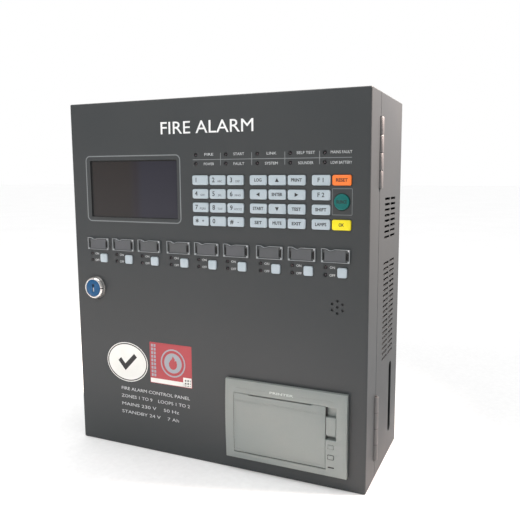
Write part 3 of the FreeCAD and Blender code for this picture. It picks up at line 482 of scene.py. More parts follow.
def nodeTree(name, sizes):
    """A geometry tree with a points input, named sizes, and a material; returns the tree and its input node."""
    tree = bpy.data.node_groups.new(name, "GeometryNodeTree")
    tree.is_modifier = True
    tree.interface.new_socket("Points", in_out="INPUT", socket_type="NodeSocketGeometry")
    for label, value in sizes.items():
        kind = "NodeSocketVector" if isinstance(value, tuple) else "NodeSocketFloat"
        tree.interface.new_socket(label, in_out="INPUT", socket_type=kind).default_value = value
    tree.interface.new_socket("Material", in_out="INPUT", socket_type="NodeSocketMaterial")
    tree.interface.new_socket("Geometry", in_out="OUTPUT", socket_type="NodeSocketGeometry")
    return tree, tree.nodes.new("NodeGroupInput").outputs


def endTree(tree, given, shape):
    """Puts the shape on every point, turned to stand out of the door or away from it."""
    toward = addNode(tree, "GeometryNodeTransform", Geometry=shape, Rotation=given["Turn"])
    placed = addNode(tree, "GeometryNodeInstanceOnPoints", Points=given["Points"],
                     Instance=toward.outputs["Geometry"])
    real = addNode(tree, "GeometryNodeRealizeInstances", Geometry=placed.outputs["Instances"])
    painted = addNode(tree, "GeometryNodeSetMaterial", Geometry=real.outputs["Geometry"],
                      Material=given["Material"])
    result = tree.nodes.new("NodeGroupOutput")
    tree.links.new(painted.outputs["Geometry"], result.inputs["Geometry"])
    return tree


def combined(tree, *shapes):
    join = tree.nodes.new("GeometryNodeJoinGeometry")
    for shape in shapes:
        tree.links.new(shape, join.inputs["Geometry"])
    return join.outputs["Geometry"]


def lifted(tree, shape, height):
    place = addNode(tree, "ShaderNodeCombineXYZ", Z=height).outputs["Vector"]
    return addNode(tree, "GeometryNodeTransform", Geometry=shape, Translation=place).outputs["Geometry"]


def repeated(name, tree, points, material, angle=35, **sizes):
    """Runs a geometry tree on a list of places and keeps the result as a plain mesh."""
    mesh = bpy.data.meshes.new(name)
    mesh.from_pydata([tuple(point) for point in points], [], [])
    piece = bpy.data.objects.new(name, mesh)
    scene.collection.objects.link(piece)
    modifier = piece.modifiers.new("repeat", "NODES")
    modifier.node_group = tree
    for socket in tree.interface.items_tree:
        if socket.in_out == "INPUT" and socket.name in sizes:
            modifier[socket.identifier] = sizes[socket.name]
        if socket.in_out == "INPUT" and socket.name == "Material":
            modifier[socket.identifier] = material
    real = bpy.data.meshes.new_from_object(piece.evaluated_get(bpy.context.evaluated_depsgraph_get()))
    piece.modifiers.clear()
    piece.data = real
    real.name = name
    shadeSmooth(real, angle)
    return piece


def onDoor(x, z, proud=0.0):
    return Vector((doorLow.x + x * mm, faceY - proud * mm, doorLow.z + z * mm))


outward = (math.radians(90), 0, 0)        # turns a shape's own Z to point out of the door
inward = (math.radians(-90), 0, 0)        # and into the cabinet


def lampTree():
    """An indicator lamp: a domed lens on a short body."""
    tree, given = nodeTree("indicatorLamp", {"Radius": 1.8 * mm, "Length": 6 * mm, "Turn": outward})
    dome = addNode(tree, "GeometryNodeMeshUVSphere", Segments=24, Rings=12, Radius=given["Radius"])
    body = addNode(tree, "GeometryNodeMeshCylinder", Vertices=24, Radius=given["Radius"], Depth=given["Length"])
    half = addNode(tree, "ShaderNodeMath", Value=given["Length"])
    half.operation = "MULTIPLY"
    half.inputs[1].default_value = -0.5
    return endTree(tree, given, combined(tree, dome.outputs["Mesh"],
                                         lifted(tree, body.outputs["Mesh"], half.outputs["Value"])))


def screwTree():
    """A pan head with a cross recess."""
    tree, given = nodeTree("panScrew", {"Radius": 3 * mm, "Height": 1.8 * mm, "Turn": outward})
    top = addNode(tree, "ShaderNodeMath", Value=given["Radius"])
    top.operation = "MULTIPLY"
    top.inputs[1].default_value = 0.72
    head = addNode(tree, "GeometryNodeMeshCone", Vertices=28, Radius_Top=top.outputs["Value"],
                   Radius_Bottom=given["Radius"], Depth=given["Height"])
    arms = []
    for length, width in ((1.15, 0.26), (0.26, 1.15)):
        size = addNode(tree, "ShaderNodeCombineXYZ", X=length, Y=width, Z=0.9)
        scaled = addNode(tree, "ShaderNodeVectorMath", Vector=size.outputs["Vector"])
        scaled.operation = "SCALE"
        tree.links.new(given["Radius"], scaled.inputs["Scale"])
        arm = addNode(tree, "GeometryNodeMeshCube", Size=scaled.outputs["Vector"])
        arms.append(lifted(tree, arm.outputs["Mesh"], given["Height"]))
    recess = tree.nodes.new("GeometryNodeMeshBoolean")
    recess.operation = "DIFFERENCE"
    tree.links.new(head.outputs["Mesh"], recess.inputs["Mesh 1"])
    for arm in arms:
        tree.links.new(arm, recess.inputs["Mesh 2"])
    return endTree(tree, given, recess.outputs["Mesh"])


def discTree():
    """A flat round disc, to stand as painted shade for a hole seen in a thin cover."""
    tree, given = nodeTree("holeShadeDisc", {"Radius": 2 * mm, "Height": 0.1 * mm, "Turn": outward})
    disc = addNode(tree, "GeometryNodeMeshCylinder", Vertices=20, Radius=given["Radius"], Depth=given["Height"])
    return endTree(tree, given, disc.outputs["Mesh"])


def blockTree():
    """A small block with a round well in its top, as a terminal or a switch."""
    tree, given = nodeTree("blockWithWell", {"Size": (5 * mm, 8 * mm, 7 * mm), "Well": 1.6 * mm, "Turn": outward})
    block = addNode(tree, "GeometryNodeMeshCube", Size=given["Size"])
    deep = addNode(tree, "ShaderNodeSeparateXYZ", Vector=given["Size"]).outputs["Z"]
    half = addNode(tree, "ShaderNodeMath", Value=deep)
    half.operation = "MULTIPLY"
    half.inputs[1].default_value = 0.5
    well = addNode(tree, "GeometryNodeMeshCylinder", Vertices=20, Radius=given["Well"], Depth=half.outputs["Value"])
    opened = tree.nodes.new("GeometryNodeMeshBoolean")
    opened.operation = "DIFFERENCE"
    tree.links.new(block.outputs["Mesh"], opened.inputs["Mesh 1"])
    tree.links.new(lifted(tree, well.outputs["Mesh"], half.outputs["Value"]), opened.inputs["Mesh 2"])
    return endTree(tree, given, lifted(tree, opened.outputs["Mesh"], half.outputs["Value"]))


# ---- keypad ----

keycap = {
    "proud": 1.8,
    "flange": 0.7,            # how far the retaining flange stands out, each side
    "flangeFront": -1.6,
    "flangeBack": -2.6,
    "stemRadius": 1.8,
    "corner": 1.9,
    "squareCorner": 1.9,
    "edge": 0.9,              # width of the soft edge
    "crown": 0.22,            # how much the middle stands over the soft edge
    "arrow": 4.3,
    "gapShadeLine": 0.36,          # dark line on the door round a key's hole, as painted shade of the gap
    "gapShadeStart": 0.24,
    "legendStep": 0.8,        # longest edge of a legend, so that it follows the crown
}

keyWords = {
    "key_star": "*", "key_hash": "#", "key_query": "LOG", "key_print": "PRINT", "key_enter": "ENTER",
    "key_start": "START", "key_test": "TEST", "key_set": "SET", "key_mute": "MUTE", "key_exit": "EXIT",
    "key_f1": "F 1", "key_f2": "F 2", "key_shift": "SHIFT", "key_lamp_test": "LAMPS", "key_reset": "RESET",
    "key_silence": "SILENCE", "key_confirm": "OK",
}
digitLetters = {"2": "ABC", "3": "DEF", "4": "GHI", "5": "JKL", "6": "MNO", "7": "PQRS", "8": "TUV", "9": "WXYZ"}
arrowTurns = {"key_up": 0, "key_left": 90, "key_down": 180, "key_right": -90}
keyColours = {"key_reset": ("orange", "key_orange"), "key_silence": ("green", "key_green"),
              "key_confirm": ("yellow", "key_yellow")}


def capMesh(centre, halfWidth, halfHeight, corner):
    """A moulded cap from its stem to its pillow-shaped face; a corner as large as the half width is a round cap."""
    def ring(inset, proud):
        radius = max(corner - inset, 0.25)
        return roundedRing(centre, (halfWidth - inset) * mm, (halfHeight - inset) * mm, radius * mm, proud * mm,
                           12 if corner >= halfWidth else 6)

    stem = keycap["stemRadius"]
    stemInset = min(halfWidth, halfHeight) - stem
    stemEnd = (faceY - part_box("key_1")[1].y) / mm

    def stemRing(proud):
        return roundedRing(centre, stem * mm, stem * mm, stem * mm, proud * mm, 12 if corner >= halfWidth else 6)

    edge, crown, proud = keycap["edge"], keycap["crown"], keycap["proud"]
    rings = [stemRing(stemEnd), stemRing(keycap["flangeBack"]),
             ring(-keycap["flange"], keycap["flangeBack"]), ring(-keycap["flange"], keycap["flangeFront"]),
             ring(0, keycap["flangeFront"]), ring(0, proud - crown - edge)]
    for step in range(1, 7):
        turn = math.radians(90 * step / 6)
        rings.append(ring(edge * (1 - math.cos(turn)), proud - crown - edge * (1 - math.sin(turn))))
    deepest = min(halfWidth, halfHeight) - 0.4
    for step in range(1, 6):
        share = step / 5
        inset = edge + (deepest - edge) * share
        rings.append(ring(inset, proud - crown * (1 - share) ** 2))
    return loft(rings)


def arrowLoop(x, z, turn):
    size = keycap["arrow"]
    corners = [(-size / 2, -size * 0.42), (size / 2, -size * 0.42), (0, size * 0.5)]
    spin = math.radians(turn)
    return [(x + a * math.cos(spin) - b * math.sin(spin), z + a * math.sin(spin) + b * math.cos(spin))
            for a, b in corners]


def keyLegends(node, x, z):
    """What is printed on a key, as pairs of mesh and ink number."""
    tail = node.split("_", 1)[1]
    if tail.isdigit():
        meshes = [(words(tail, 4.8, (x - 4.6, z), bold=0.1), 1)]
        if tail in digitLetters:
            meshes.append((words(digitLetters[tail], 2.1, (x + 3.0, z - 1.2), bold=0.05), 2))
        return meshes
    if node in arrowTurns:
        return [(plate([arrowLoop(x, z, arrowTurns[node])], -0.02, 0.05), 1)]
    text = keyWords[node]
    if node in ("key_star", "key_hash"):
        return [(words(text, 6.2 if text == "*" else 4.4, (x - 4.2, z - (1.6 if text == "*" else 0)), bold=0.18), 1),
                (words("+" if text == "*" else "-", 3.4, (x + 3.2, z), bold=0.12), 1)]
    if node in ("key_f1", "key_f2"):
        return [(words(text, 4.2, (x, z), bold=0.1), 1)]
    wide = {"key_silence": 10.6, "key_confirm": 5.5}.get(node, 3.0 + 1.75 * len(text))
    return [(words(text, 3.1, (x, z), bold=0.14, width=wide), 1)]


def makeKeys():
    names = sorted(node for node in frame["nodes"] if node.startswith(("key_", "zone_button_")))
    gapShades = []
    for node in names:
        low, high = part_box(node)
        centre = ((low.x + high.x) / 2, (low.z + high.z) / 2)
        halfWidth = (high.x - low.x) / 2 / mm - keycap["flange"]
        halfHeight = (high.z - low.z) / 2 / mm - keycap["flange"]
        corner = keycap["squareCorner"] if node.startswith("zone") else keycap["corner"]
        if node == "key_silence":
            corner = halfWidth
        cap = capMesh(centre, halfWidth, halfHeight, corner)
        reach = keycap["gapShadeStart"] + keycap["gapShadeLine"]
        # dark ring on the door round each key, painted shade of the gap and of the key's contact shadow
        gapShades.append(ringPlate((centre[0] - doorLow.x) / mm - halfWidth - reach,
                              (centre[1] - doorLow.z) / mm - halfHeight - reach, 2 * (halfWidth + reach),
                              2 * (halfHeight + reach), corner + reach, keycap["gapShadeLine"], front=0.03))
        colour, slot = keyColours.get(node, ("key", "key_plastic"))
        parts = [(cap, 0)]
        if node.startswith("key_"):
            surface = surfaceOf(cap)
            x, z = (centre[0] - doorLow.x) / mm, (centre[1] - doorLow.z) / mm
            parts += [(laidOn(mesh, surface, keycap["legendStep"]), ink) for mesh, ink in keyLegends(node, x, z)]
        whole = joined(parts)
        shadeSmooth(whole, 35)
        piece = newPiece("cap_" + node, whole, finishes[colour], finishes["ink"], finishes["greyInk"])
        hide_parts(node)
        riding(piece, node)
    riding(newPiece("key_gap_shade", joined(gapShades), finishes["shadow"]), "door")
    print("keys made:", len(names))


# ---- print on the door ----

doorPrint = {
    "title": ("FIRE ALARM", 13.0, (181.0, 373.0), 112.0),
    "windowRing": (19.8, 270.0, 129.2, 75.5, 6.0, 1.2),        # left, low, width, height, corner, line
    "silenceFrame": (321.6, 283.8, 20.7, 26.0, 1.0, 0.5),
    "legendLine": (164.8, 339.4, 341.2, 0.7),                  # from, height, to, line
    "dividers": (198.6, 234.9, 271.7, 308.4),
    "dividerEnds": (333.2, 346.1),
    "columns": (184.5, 220.0, 257.0, 294.0, 330.5),
    "rows": (344.6, 334.6),
    "upperWords": ("FIRE", "START", "LINK", "SELF TEST", "MAINS FAULT"),
    "lowerWords": ("POWER", "FAULT", "SYSTEM", "SOUNDER", "LOW BATTERY"),
    "wordHeight": 2.7,
    "zoneWords": ("ON", "OFF"),
}
addressLines = ((71.0, "FIRE ALARM CONTROL PANEL", 95.0), (61.5, "ZONES 1 TO 9    LOOPS 1 TO 2", 95.0),
                (51.8, "MAINS 230 V    50 Hz", 80.0), (42.0, "STANDBY 24 V    7 Ah", 80.0))


def ringPlate(left, low, width, height, corner, line, back=-0.02, front=0.05):
    outer = roundedLoop(left, low, width, height, corner)
    inner = roundedLoop(left + line, low + line, width - 2 * line, height - 2 * line, max(corner - line, 0.3))
    return plate([outer, inner], back, front)


def rulePlate(left, low, width, height, back=-0.02, front=0.05):
    return plate([[(left, low), (left + width, low), (left + width, low + height), (left, low + height)]],
                 back, front)


def makeDoorPrint():
    text, height, centre, width = doorPrint["title"]
    riding(newPiece("printed_title", words(text, height, centre, bold=0.04, width=width), finishes["white"]), "door")
    small = []
    for column, upper, lower in zip(doorPrint["columns"], doorPrint["upperWords"], doorPrint["lowerWords"]):
        for row, label in zip(doorPrint["rows"], (upper, lower)):
            wide = min(4.0 + 1.7 * len(label), 21.5)
            small.append(words(label, doorPrint["wordHeight"], (column, row), bold=0.02, width=wide))
    for number in range(1, 10):
        low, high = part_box("zone_button_%d" % number)
        left = (low.x - doorLow.x) / mm
        middle = ((low.z + high.z) / 2 - doorLow.z) / mm
        small.append(words(doorPrint["zoneWords"][0], 2.4, (left - 4.6, middle + 4.6), bold=0.02, width=5.4))
        small.append(words(doorPrint["zoneWords"][1], 2.4, (left - 4.6, middle - 3.2), bold=0.02, width=5.8))
    for z, text, width in addressLines:
        line = words(text, 3.7, (0, z), bold=0.0, width=width)
        line.transform(Matrix.Translation(((59.5 + width / 2) * mm, 0, 0)))
        small.append(line)
    riding(newPiece("printed_words", joined(small), finishes["legend"]), "door")

    start, height, end, line = doorPrint["legendLine"]
    pale = [ringPlate(*doorPrint["windowRing"]), ringPlate(*doorPrint["silenceFrame"]),
            rulePlate(start, height - line / 2, end - start, line)]
    low, high = doorPrint["dividerEnds"]
    pale += [rulePlate(x - line / 2, low, line, high - low, front=0.04) for x in doorPrint["dividers"]]
    riding(newPiece("printed_lines", joined(pale), finishes["rule"]), "door")
    print("door print made")


# ---- stickers ----

stickers = {
    "oval": (69.5, 104.0, 58.2, 47.7),
    "ovalRing": 1.3,
    "red": (101.8, 83.6, 56.3, 48.7),
    "redRing": (133.2, 110.0, 33.0, 1.7, 23.5),        # centre, size, line, disc
    "bar": 5.2,
    "codeSize": 11.0,
    "codeCells": 8,
}


def makeStickers():
    x, z, width, height = stickers["oval"]
    rim, ring = 1.0, stickers["ovalRing"]
    backing = plate([ellipseLoop(x, z, width, height)], 0.0, 0.12)
    black = plate([ellipseLoop(x, z, width - 2 * rim, height - 2 * rim),
                   ellipseLoop(x, z, width - 2 * rim - 2 * ring, height - 2 * rim - 2 * ring)], 0.1, 0.16)
    tick = [(-13, 1), (-9, 5), (-3, -2), (10, 11), (14, 7), (-3, -10.5)]
    mark = plate([[(x + a, z + b) for a, b in tick]], 0.1, 0.16)
    whole = joined([(backing, 0), (black, 1), (mark, 1)])
    riding(newPiece("oval_sticker", whole, finishes["sticker"], finishes["ink"]), "door")

    left, low, width, height = stickers["red"]
    base = plate([roundedLoop(left, low, width, height, 0.6)], 0.0, 0.12)
    cx, cz, size, line, discSize = stickers["redRing"]
    ring = plate([ellipseLoop(cx, cz, size, size), ellipseLoop(cx, cz, size - 2 * line, size - 2 * line)], 0.1, 0.16)
    disc = plate([ellipseLoop(cx, cz, discSize, discSize)], 0.1, 0.15)
    flame = [(0, 8.5), (2.6, 5), (2.4, 2.6), (4.4, 3.6), (5.6, -0.5), (5, -4), (3, -6.6), (0, -7.6), (-3, -6.6),
             (-5, -4), (-5.4, -0.5), (-3.6, 2.8), (-1.2, 5.2)]
    blaze = plate([[(cx + a, cz + b) for a, b in flame]], 0.14, 0.2)
    marks = [rulePlate(left + 2.0 + 3.6 * column, low + 8 + 4.4 * row, 2.6, 3.2, 0.1, 0.15)
             for column in range(2) for row in range(9)]
    code, cells = stickers["codeSize"], stickers["codeCells"]
    right = left + width - code
    bar = rulePlate(left + 0.6, low + 0.6, width - code - 0.4, stickers["bar"], 0.1, 0.15)
    block = rulePlate(right - 0.6, low + 0.6, code, code, 0.1, 0.15)
    step = (code - 2) / cells
    dots = [rulePlate(right + 0.4 + step * column, low + 1.6 + step * row, step * 0.86, step * 0.86, 0.14, 0.19)
            for column in range(cells) for row in range(cells) if (column * 5 + row * 3 + column * row) % 3]
    parts = [(base, 0), (ring, 1), (disc, 1), (blaze, 0), (bar, 2), (block, 2)]
    parts += [(mark, 1) for mark in marks] + [(dot, 3) for dot in dots]
    piece = newPiece("red_label", joined(parts), finishes["label"], finishes["labelPale"], finishes["sticker"],
                     finishes["ink"])
    riding(piece, "door")
    print("stickers made")


# ---- lamps and sounder ----

lamps = {
    "radius": 1.8,
    "length": 6.0,
    "lensProud": 0.1,
    "statusLeft": 168.6, "statusPitch": 36.3, "statusRows": (335.1, 344.5),
    "zoneShift": -17.5, "zoneRises": (4.8, -2.9),
}
sounder = {"x": 328.4, "z": 192.2}
windowShadeBorder = (5.0, 3.6, 3.5, 4.4)        # painted shade of the window's recess: a dark border over the pane at its left, bottom, right and top


def makeLamps():
    tree = lampTree()
    centre = lamps["lensProud"] - lamps["radius"]
    places = [onDoor(lamps["statusLeft"] + lamps["statusPitch"] * column, z, centre)
              for column in range(5) for z in lamps["statusRows"]]
    for number in range(1, 10):
        low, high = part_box("zone_button_%d" % number)
        middle = (low + high) / 2
        places += [Vector((middle.x + lamps["zoneShift"] * mm, faceY - centre * mm, middle.z + rise * mm))
                   for rise in lamps["zoneRises"]]
    piece = repeated("indicator_lamps", tree, places, finishes["lens"], Radius=lamps["radius"] * mm,
                     Length=lamps["length"] * mm, Turn=outward)
    riding(piece, "door")

    x, z = doorLow.x + sounder["x"] * mm, doorLow.z + sounder["z"] * mm
    can = [(0.3, -1.6), (8.6, -1.6), (9.4, -2.2), (9.8, -3.0), (9.8, -9.5), (9.0, -10.4), (4.0, -10.6), (0.3, -10.6)]
    riding(turned("sounder", can, (x, z), finishes["black"]), "door")
    low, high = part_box("display_window")
    x, z = (low.x - doorLow.x) / mm, (low.z - doorLow.z) / mm
    width, height = (high.x - low.x) / mm, (high.z - low.z) / mm
    left, bottom, right, top = windowShadeBorder
    outer = roundedLoop(x + 1, z + 1, width - 2, height - 2, 1)
    inner = roundedLoop(x + left, z + bottom, width - left - right, height - bottom - top, 0.8)
    pane = -(low.y - faceY) / mm
    # a dark sheet over the pane's edges, as painted shade of the recess round the window
    riding(newPiece("window_shade_border", plate([outer, inner], pane, pane + 0.12), finishes["shadow"]), "door")
    print("lamps, sounder and window mask made")


# ---- label holders ----

holder = {
    "base": 1.0,
    "rim": 0.4,
    "corner": 1.9,
    "proud": 2.4,
    "notchCentre": -5.2,        # left of the holder's middle
    "notchWidth": 11.0,
    "notchDrop": 1.9,
    "leftDrop": 0.5,
    "slot": (2.1, 7.0),
}


def waveEdge(x0, x1, top, inset):
    """The holder's top edge from right to left, with the thumb notch's wave in it."""
    middle = (x0 + x1) / 2 + holder["notchCentre"]
    half = holder["notchWidth"] / 2
    steps = 22
    points = []
    for step in range(steps + 1):
        x = x1 + (x0 - x1) * step / steps
        near = (x - middle) / half
        drop = holder["notchDrop"] * 0.5 * (1 + math.cos(math.pi * near)) if abs(near) < 1 else 0
        side = holder["leftDrop"] if x > middle + half * 0.2 else 0
        blend = min(max((x - middle) / half, 0), 1)
        points.append((x, top - inset - drop - side * blend))
    return points


def holderLoop(left, low, width, height, inset):
    x0, x1 = left + inset, left + width - inset
    return [(x0, low + inset), (x1, low + inset)] + waveEdge(x0, x1, low + height, inset)


def makeLabelHolders():
    clear, cards, gapShades = [], [], []
    low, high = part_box("label_holders")
    height = (high.z - low.z) / mm
    z = (low.z - doorLow.z) / mm
    for number in range(1, 10):
        buttonLow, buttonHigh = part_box("zone_button_%d" % number)
        middle = ((buttonLow.x + buttonHigh.x) / 2 - doorLow.x) / mm - 6.9
        width = 29.2
        left = middle - width / 2
        slotWidth, slotHeight = holder["slot"]
        slots = [roundedLoop(x, z + height / 2 - slotHeight / 2 - 0.6, slotWidth * share, slotHeight, 0.3, 3)
                 for x, share in ((left + 1.5, 0.7), (left + width - 4.0, 1.25))]
        clear.append(plate([holderLoop(left, z, width, height, 0.3)] + slots, 0.2, holder["base"], 0.12))
        inner = holderLoop(left, z, width, height, holder["rim"])
        # a pale rim round each holder's edge, as painted highlight on the clear plastic
        clear.append((plate([holderLoop(left, z, width, height, 0), inner], 0.05, holder["proud"], 0.2), 1))
        # bright blocks at three corners, as painted highlights
        for x, up in ((left, 0), (left + width - holder["corner"], 0), (left + width - holder["corner"], 1)):
            low = z + up * (height - holder["corner"] - holder["leftDrop"])
            clear.append((plate([roundedLoop(x, low, holder["corner"], holder["corner"], 0.3, 3)], 0.1,
                                holder["proud"] - 0.1, 0.15), 1))
        cards.append(plate([holderLoop(left + 3.2, z + 1.0, width - 7.6, height - 2.2, 0)],
                           holder["base"] + 0.02, holder["base"] + 0.3))
        # a dark sheet under each holder, as painted shade seen through its slots and clear plastic
        gapShades.append(plate([roundedLoop(left + 1.0, z + 1, width - 2, height - 3.6, 0.4, 3)], 0.02, 0.15))
    holders = newPiece("clear_label_holders", shadeSmooth(joined(clear), 35), finishes["holder"],
                       finishes["holderEdgeHighlight"])
    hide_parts("label_holders")
    riding(holders, "door")
    riding(newPiece("label_cards", joined(cards), finishes["card"]), "door")
    riding(newPiece("holder_slot_shade", joined(gapShades), finishes["shadow"]), "door")
    print("label holders made")


# ---- lock ----

lock = {
    "collar": [(6.1, -39.0), (9.3, -39.0), (9.3, -1.6), (9.3, 0.0), (13.7, 0.0), (14.0, 0.3), (13.95, 1.2),
               (13.6, 1.8), (12.9, 3.8), (12.5, 4.9), (12.0, 5.6), (11.3, 5.95), (10.7, 6.0), (10.3, 5.8),
               (10.1, 5.3), (10.06, 2.4), (6.1, 2.3)],
    "nut": [(9.4, -1.6), (12.6, -1.6), (12.6, -5.4), (9.4, -5.4)],
}


def makeLock():
    low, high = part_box("lock_plug")
    centre = ((low.x + high.x) / 2, (low.z + high.z) / 2)
    collar = turned("lock_collar", lock["collar"], centre, finishes["chrome"], 96, closed=True)
    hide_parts("lock_body")
    riding(collar, "door")
    turned("lockNutRing", lock["nut"], centre, finishes["steel"], 6, closed=True)
    nut = bpy.data.objects["lockNutRing"]
    nut.name = "lock_nut"
    for polygon in nut.data.polygons:
        polygon.use_smooth = False
    riding(nut, "door")
    x, z = (centre[0] - doorLow.x) / mm, (centre[1] - doorLow.z) / mm
    index = rulePlate(x + 10.6, z - 0.6, 2.5, 1.2, 2.6, 6.03)
    riding(newPiece("lock_index", index, finishes["shadow"]), "door")

    plug = softened("lock_plug", "lock_face", 0.5, (finishes["blue"], finishes["steel"]), 3)
    for polygon in plug.data.polygons:
        if polygon.center.y > faceY + 2 * mm:                # the core behind the face is bare metal
            polygon.material_index = 1
    riding(plug, "lock")
    guard = [roundedLoop(x - 2.2, z - 5.4, 4.4, 10.8, 2.1), roundedLoop(x - 1.0, z - 4.5, 2.0, 9.0, 0.2, 2)]
    riding(newPiece("key_guard", plate(guard, 5.4, 5.98, 0.12), finishes["blue"]), "lock")
    way = rulePlate(x - 0.75, z - 4.2, 1.5, 4.4, 1.0, 5.2)
    riding(newPiece("key_way", way, finishes["chrome"]), "lock")
    frame["nodes"]["lock_cam"].data.materials[0] = finishes["steel"]
    print("lock made")


# ---- hinges ----

hinge = {
    "edge": 0.45,             # rounded ends of the knuckles
    "length": 70.0,
    "knuckles": 4,
    "gap": 0.4,
    "lowEnd": 21.5,           # lower hinge above the bottom
    "highEnd": 25.5,          # upper hinge below the top
    # sizes of the dark rings of painted shade in the knuckle gaps
    "shadeRadii": (1.6, 2.9),
    "shadeWidth": 0.32,
}


def makeHinges():
    for node, name, body in (("hinge_box_leaves", "box_hinge_leaves", "cabinet"),
                             ("hinge_door_leaves", "door_hinge_leaves", "door")):
        riding(softened(node, name, hinge["edge"], (finishes["hinge"],)), body)
    axis = next(joint for joint in frame["joints"] if joint["name"] == "door_hinge")["pos_m"]
    pitch = (hinge["length"] + hinge["gap"]) / hinge["knuckles"]
    knuckleShades = []
    # dark rings in the gaps between the knuckles, as painted shade
    for start in (boxLow.z + hinge["lowEnd"] * mm, boxHigh.z - (hinge["highEnd"] + hinge["length"]) * mm):
        for knuckle in range(1, hinge["knuckles"]):
            middle = start + (pitch * knuckle - hinge["gap"] / 2) * mm
            inner, outer = hinge["shadeRadii"]
            half = hinge["shadeWidth"] / 2
            profile = [(inner, -half), (outer, -half), (outer, half), (inner, half)]
            turns = [2 * math.pi * step / 32 for step in range(32)]
            rings = [[(axis[0] + radius * mm * math.cos(turn), axis[1] + radius * mm * math.sin(turn), middle + up * mm)
                      for turn in turns] for radius, up in profile]
            knuckleShades.append(loft(rings, closed=True))
    riding(newPiece("knuckle_gap_shade", joined(knuckleShades), finishes["shadow"]), "cabinet")
    print("hinges made")


# ---- printer ----

printer = {
    "edge": 0.55,
    "step": (7.7, 0.45, 0.14),           # below the door's top, height, and how proud
    "doorLine": (2.2, 0.35, 0.10),       # in from the door's edge, line, proud
    "flapShadeLine": 0.45,                    # painted shade of the gap beside and below the flap
    "ribs": ((13.0, 34.0), (87.0, 36.0)),        # from the bezel's left edge, length
    "ribRise": 79.6,
    "name": ("PRINTER", 2.3, (66.0, 79.8), 27.0),
    "lampSlot": (118.0, 9.4, 6.8, 1.3),
    "scoopRise": 9.6,
    "tearPitch": 1.5,
    "platen": {"radius": 4.0, "below": 8.0, "behind": 3.4, "inset": 15.0},
    "head": (235.0, 62.0, 74.0, 88.0, -10.5, -18.0),        # left, width, low, high, front, back
}


def makePrinter():
    housing = softened("printer_housing", "printer_bezel", printer["edge"], (finishes["printer"],))
    riding(housing, "door")
    flap = softened("printer_door", "printer_flap", 0.3, (finishes["printer"],))
    riding(flap, "printer_door")
    lever = softened("printer_latch", "printer_lever", 0.4, (finishes["printer"],))
    riding(lever, "printer_latch")
    for node, body in (("printer_feed_button", "feed_button"), ("printer_select_button", "select_button")):
        riding(softened(node, node + "_cap", 0.4, (finishes["printer"],)), body)

    surface = surfaceOf(frame["nodes"]["printer_door"].data)
    low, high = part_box("printer_door")
    hinge = 2.0                                              # the flap's pins stand out this far, each side
    left, right = (low.x - doorLow.x) / mm + hinge, (high.x - doorLow.x) / mm - hinge
    bottom, top = (low.z - doorLow.z) / mm, (high.z - doorLow.z) / mm
    down, line, proud = printer["step"]
    step = rulePlate(left + 0.6, top - down, right - left - 1.2, line, -0.1, proud)
    inset, thin, lift = printer["doorLine"]
    border = ringPlate(left + inset, bottom + inset + 1.5, right - left - 2 * inset, top - bottom - down - inset - 2.4,
                       1.0, thin, -0.1, lift)
    relief = joined([laidOn(step, surface), laidOn(border, surface, 3)])
    riding(newPiece("flap_relief", relief, finishes["printer"]), "printer_door")

    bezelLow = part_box("printer_housing")[0]
    bx, bz = (bezelLow.x - doorLow.x) / mm, (bezelLow.z - doorLow.z) / mm
    face = surfaceOf(frame["nodes"]["printer_housing"].data)
    ribs = [laidOn(rulePlate(bx + start, bz + printer["ribRise"], length, 0.6, -0.1, 0.25), face, 2)
            for start, length in printer["ribs"]]
    riding(newPiece("bezel_ribs", joined(ribs), finishes["printer"]), "door")
    text, height, (x, z), width = printer["name"]
    label = laidOn(words(text, height, (bx + x, bz + z), bold=0.07, width=width), face, 0.8)
    riding(newPiece("bezel_word", label, finishes["paleWord"]), "door")
    x, z, width, height = printer["lampSlot"]
    slot = laidOn(plate([roundedLoop(bx + x, bz + z, width, height, 0.4, 4)], -0.1, 0.15), face, 1)
    riding(newPiece("printer_lamp", slot, finishes["shadow"]), "door")

    leverLow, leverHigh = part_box("printer_latch")
    leverRight = (leverHigh.x - doorLow.x) / mm
    leverBottom, leverTop = (leverLow.z - doorLow.z) / mm, (leverHigh.z - doorLow.z) / mm
    rise = printer["scoopRise"]
    # dark strips right of the lever and left of the scoop, as painted shade of the gaps there
    gapShades = [rulePlate(leverRight + 0.03, leverBottom - 2.6, 0.29, leverTop - leverBottom + 2.6, 1.2, 4.9),
            rulePlate(right + 0.08, leverTop + 0.5, 0.9, rise, 1.4, 5.0)]
    riding(newPiece("lever_gap_shade", joined(gapShades), finishes["shadow"]), "door")
    # dark rings round the feed and select buttons, as painted shade of their gaps
    buttonGapShades = []
    for node in ("printer_feed_button", "printer_select_button"):
        low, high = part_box(node)
        x, z = (low.x - doorLow.x) / mm, (low.z - doorLow.z) / mm
        proud = (faceY - low.y) / mm
        buttonGapShades.append(ringPlate(x - 0.5, z - 0.5, (high.x - low.x) / mm + 1.0, (high.z - low.z) / mm + 1.0, 1.0, 0.46,
                                  proud - 1.5, proud - 0.5))
    riding(newPiece("button_gap_shade", joined(buttonGapShades), finishes["shadow"]), "door")
    thin, away = printer["flapShadeLine"], 3.0
    # dark strips left of and below the flap, as painted shade of its gap
    beside = laidOn(rulePlate(left + away, bottom + away, thin, top - bottom - 2 * away, -1.2, -0.3), surface, 2)
    beside.transform(Matrix.Translation(((-away - thin - 0.03) * mm, 0, 0)))
    below = laidOn(rulePlate(left + away, bottom + away, right - left - 2 * away, thin, -2.6, -1.6), surface, 2)
    below.transform(Matrix.Translation((0, 0, (-away - thin - 0.12) * mm)))
    riding(newPiece("flap_gap_shade", joined([beside, below]), finishes["shadow"]), "door")
    print("printer made")


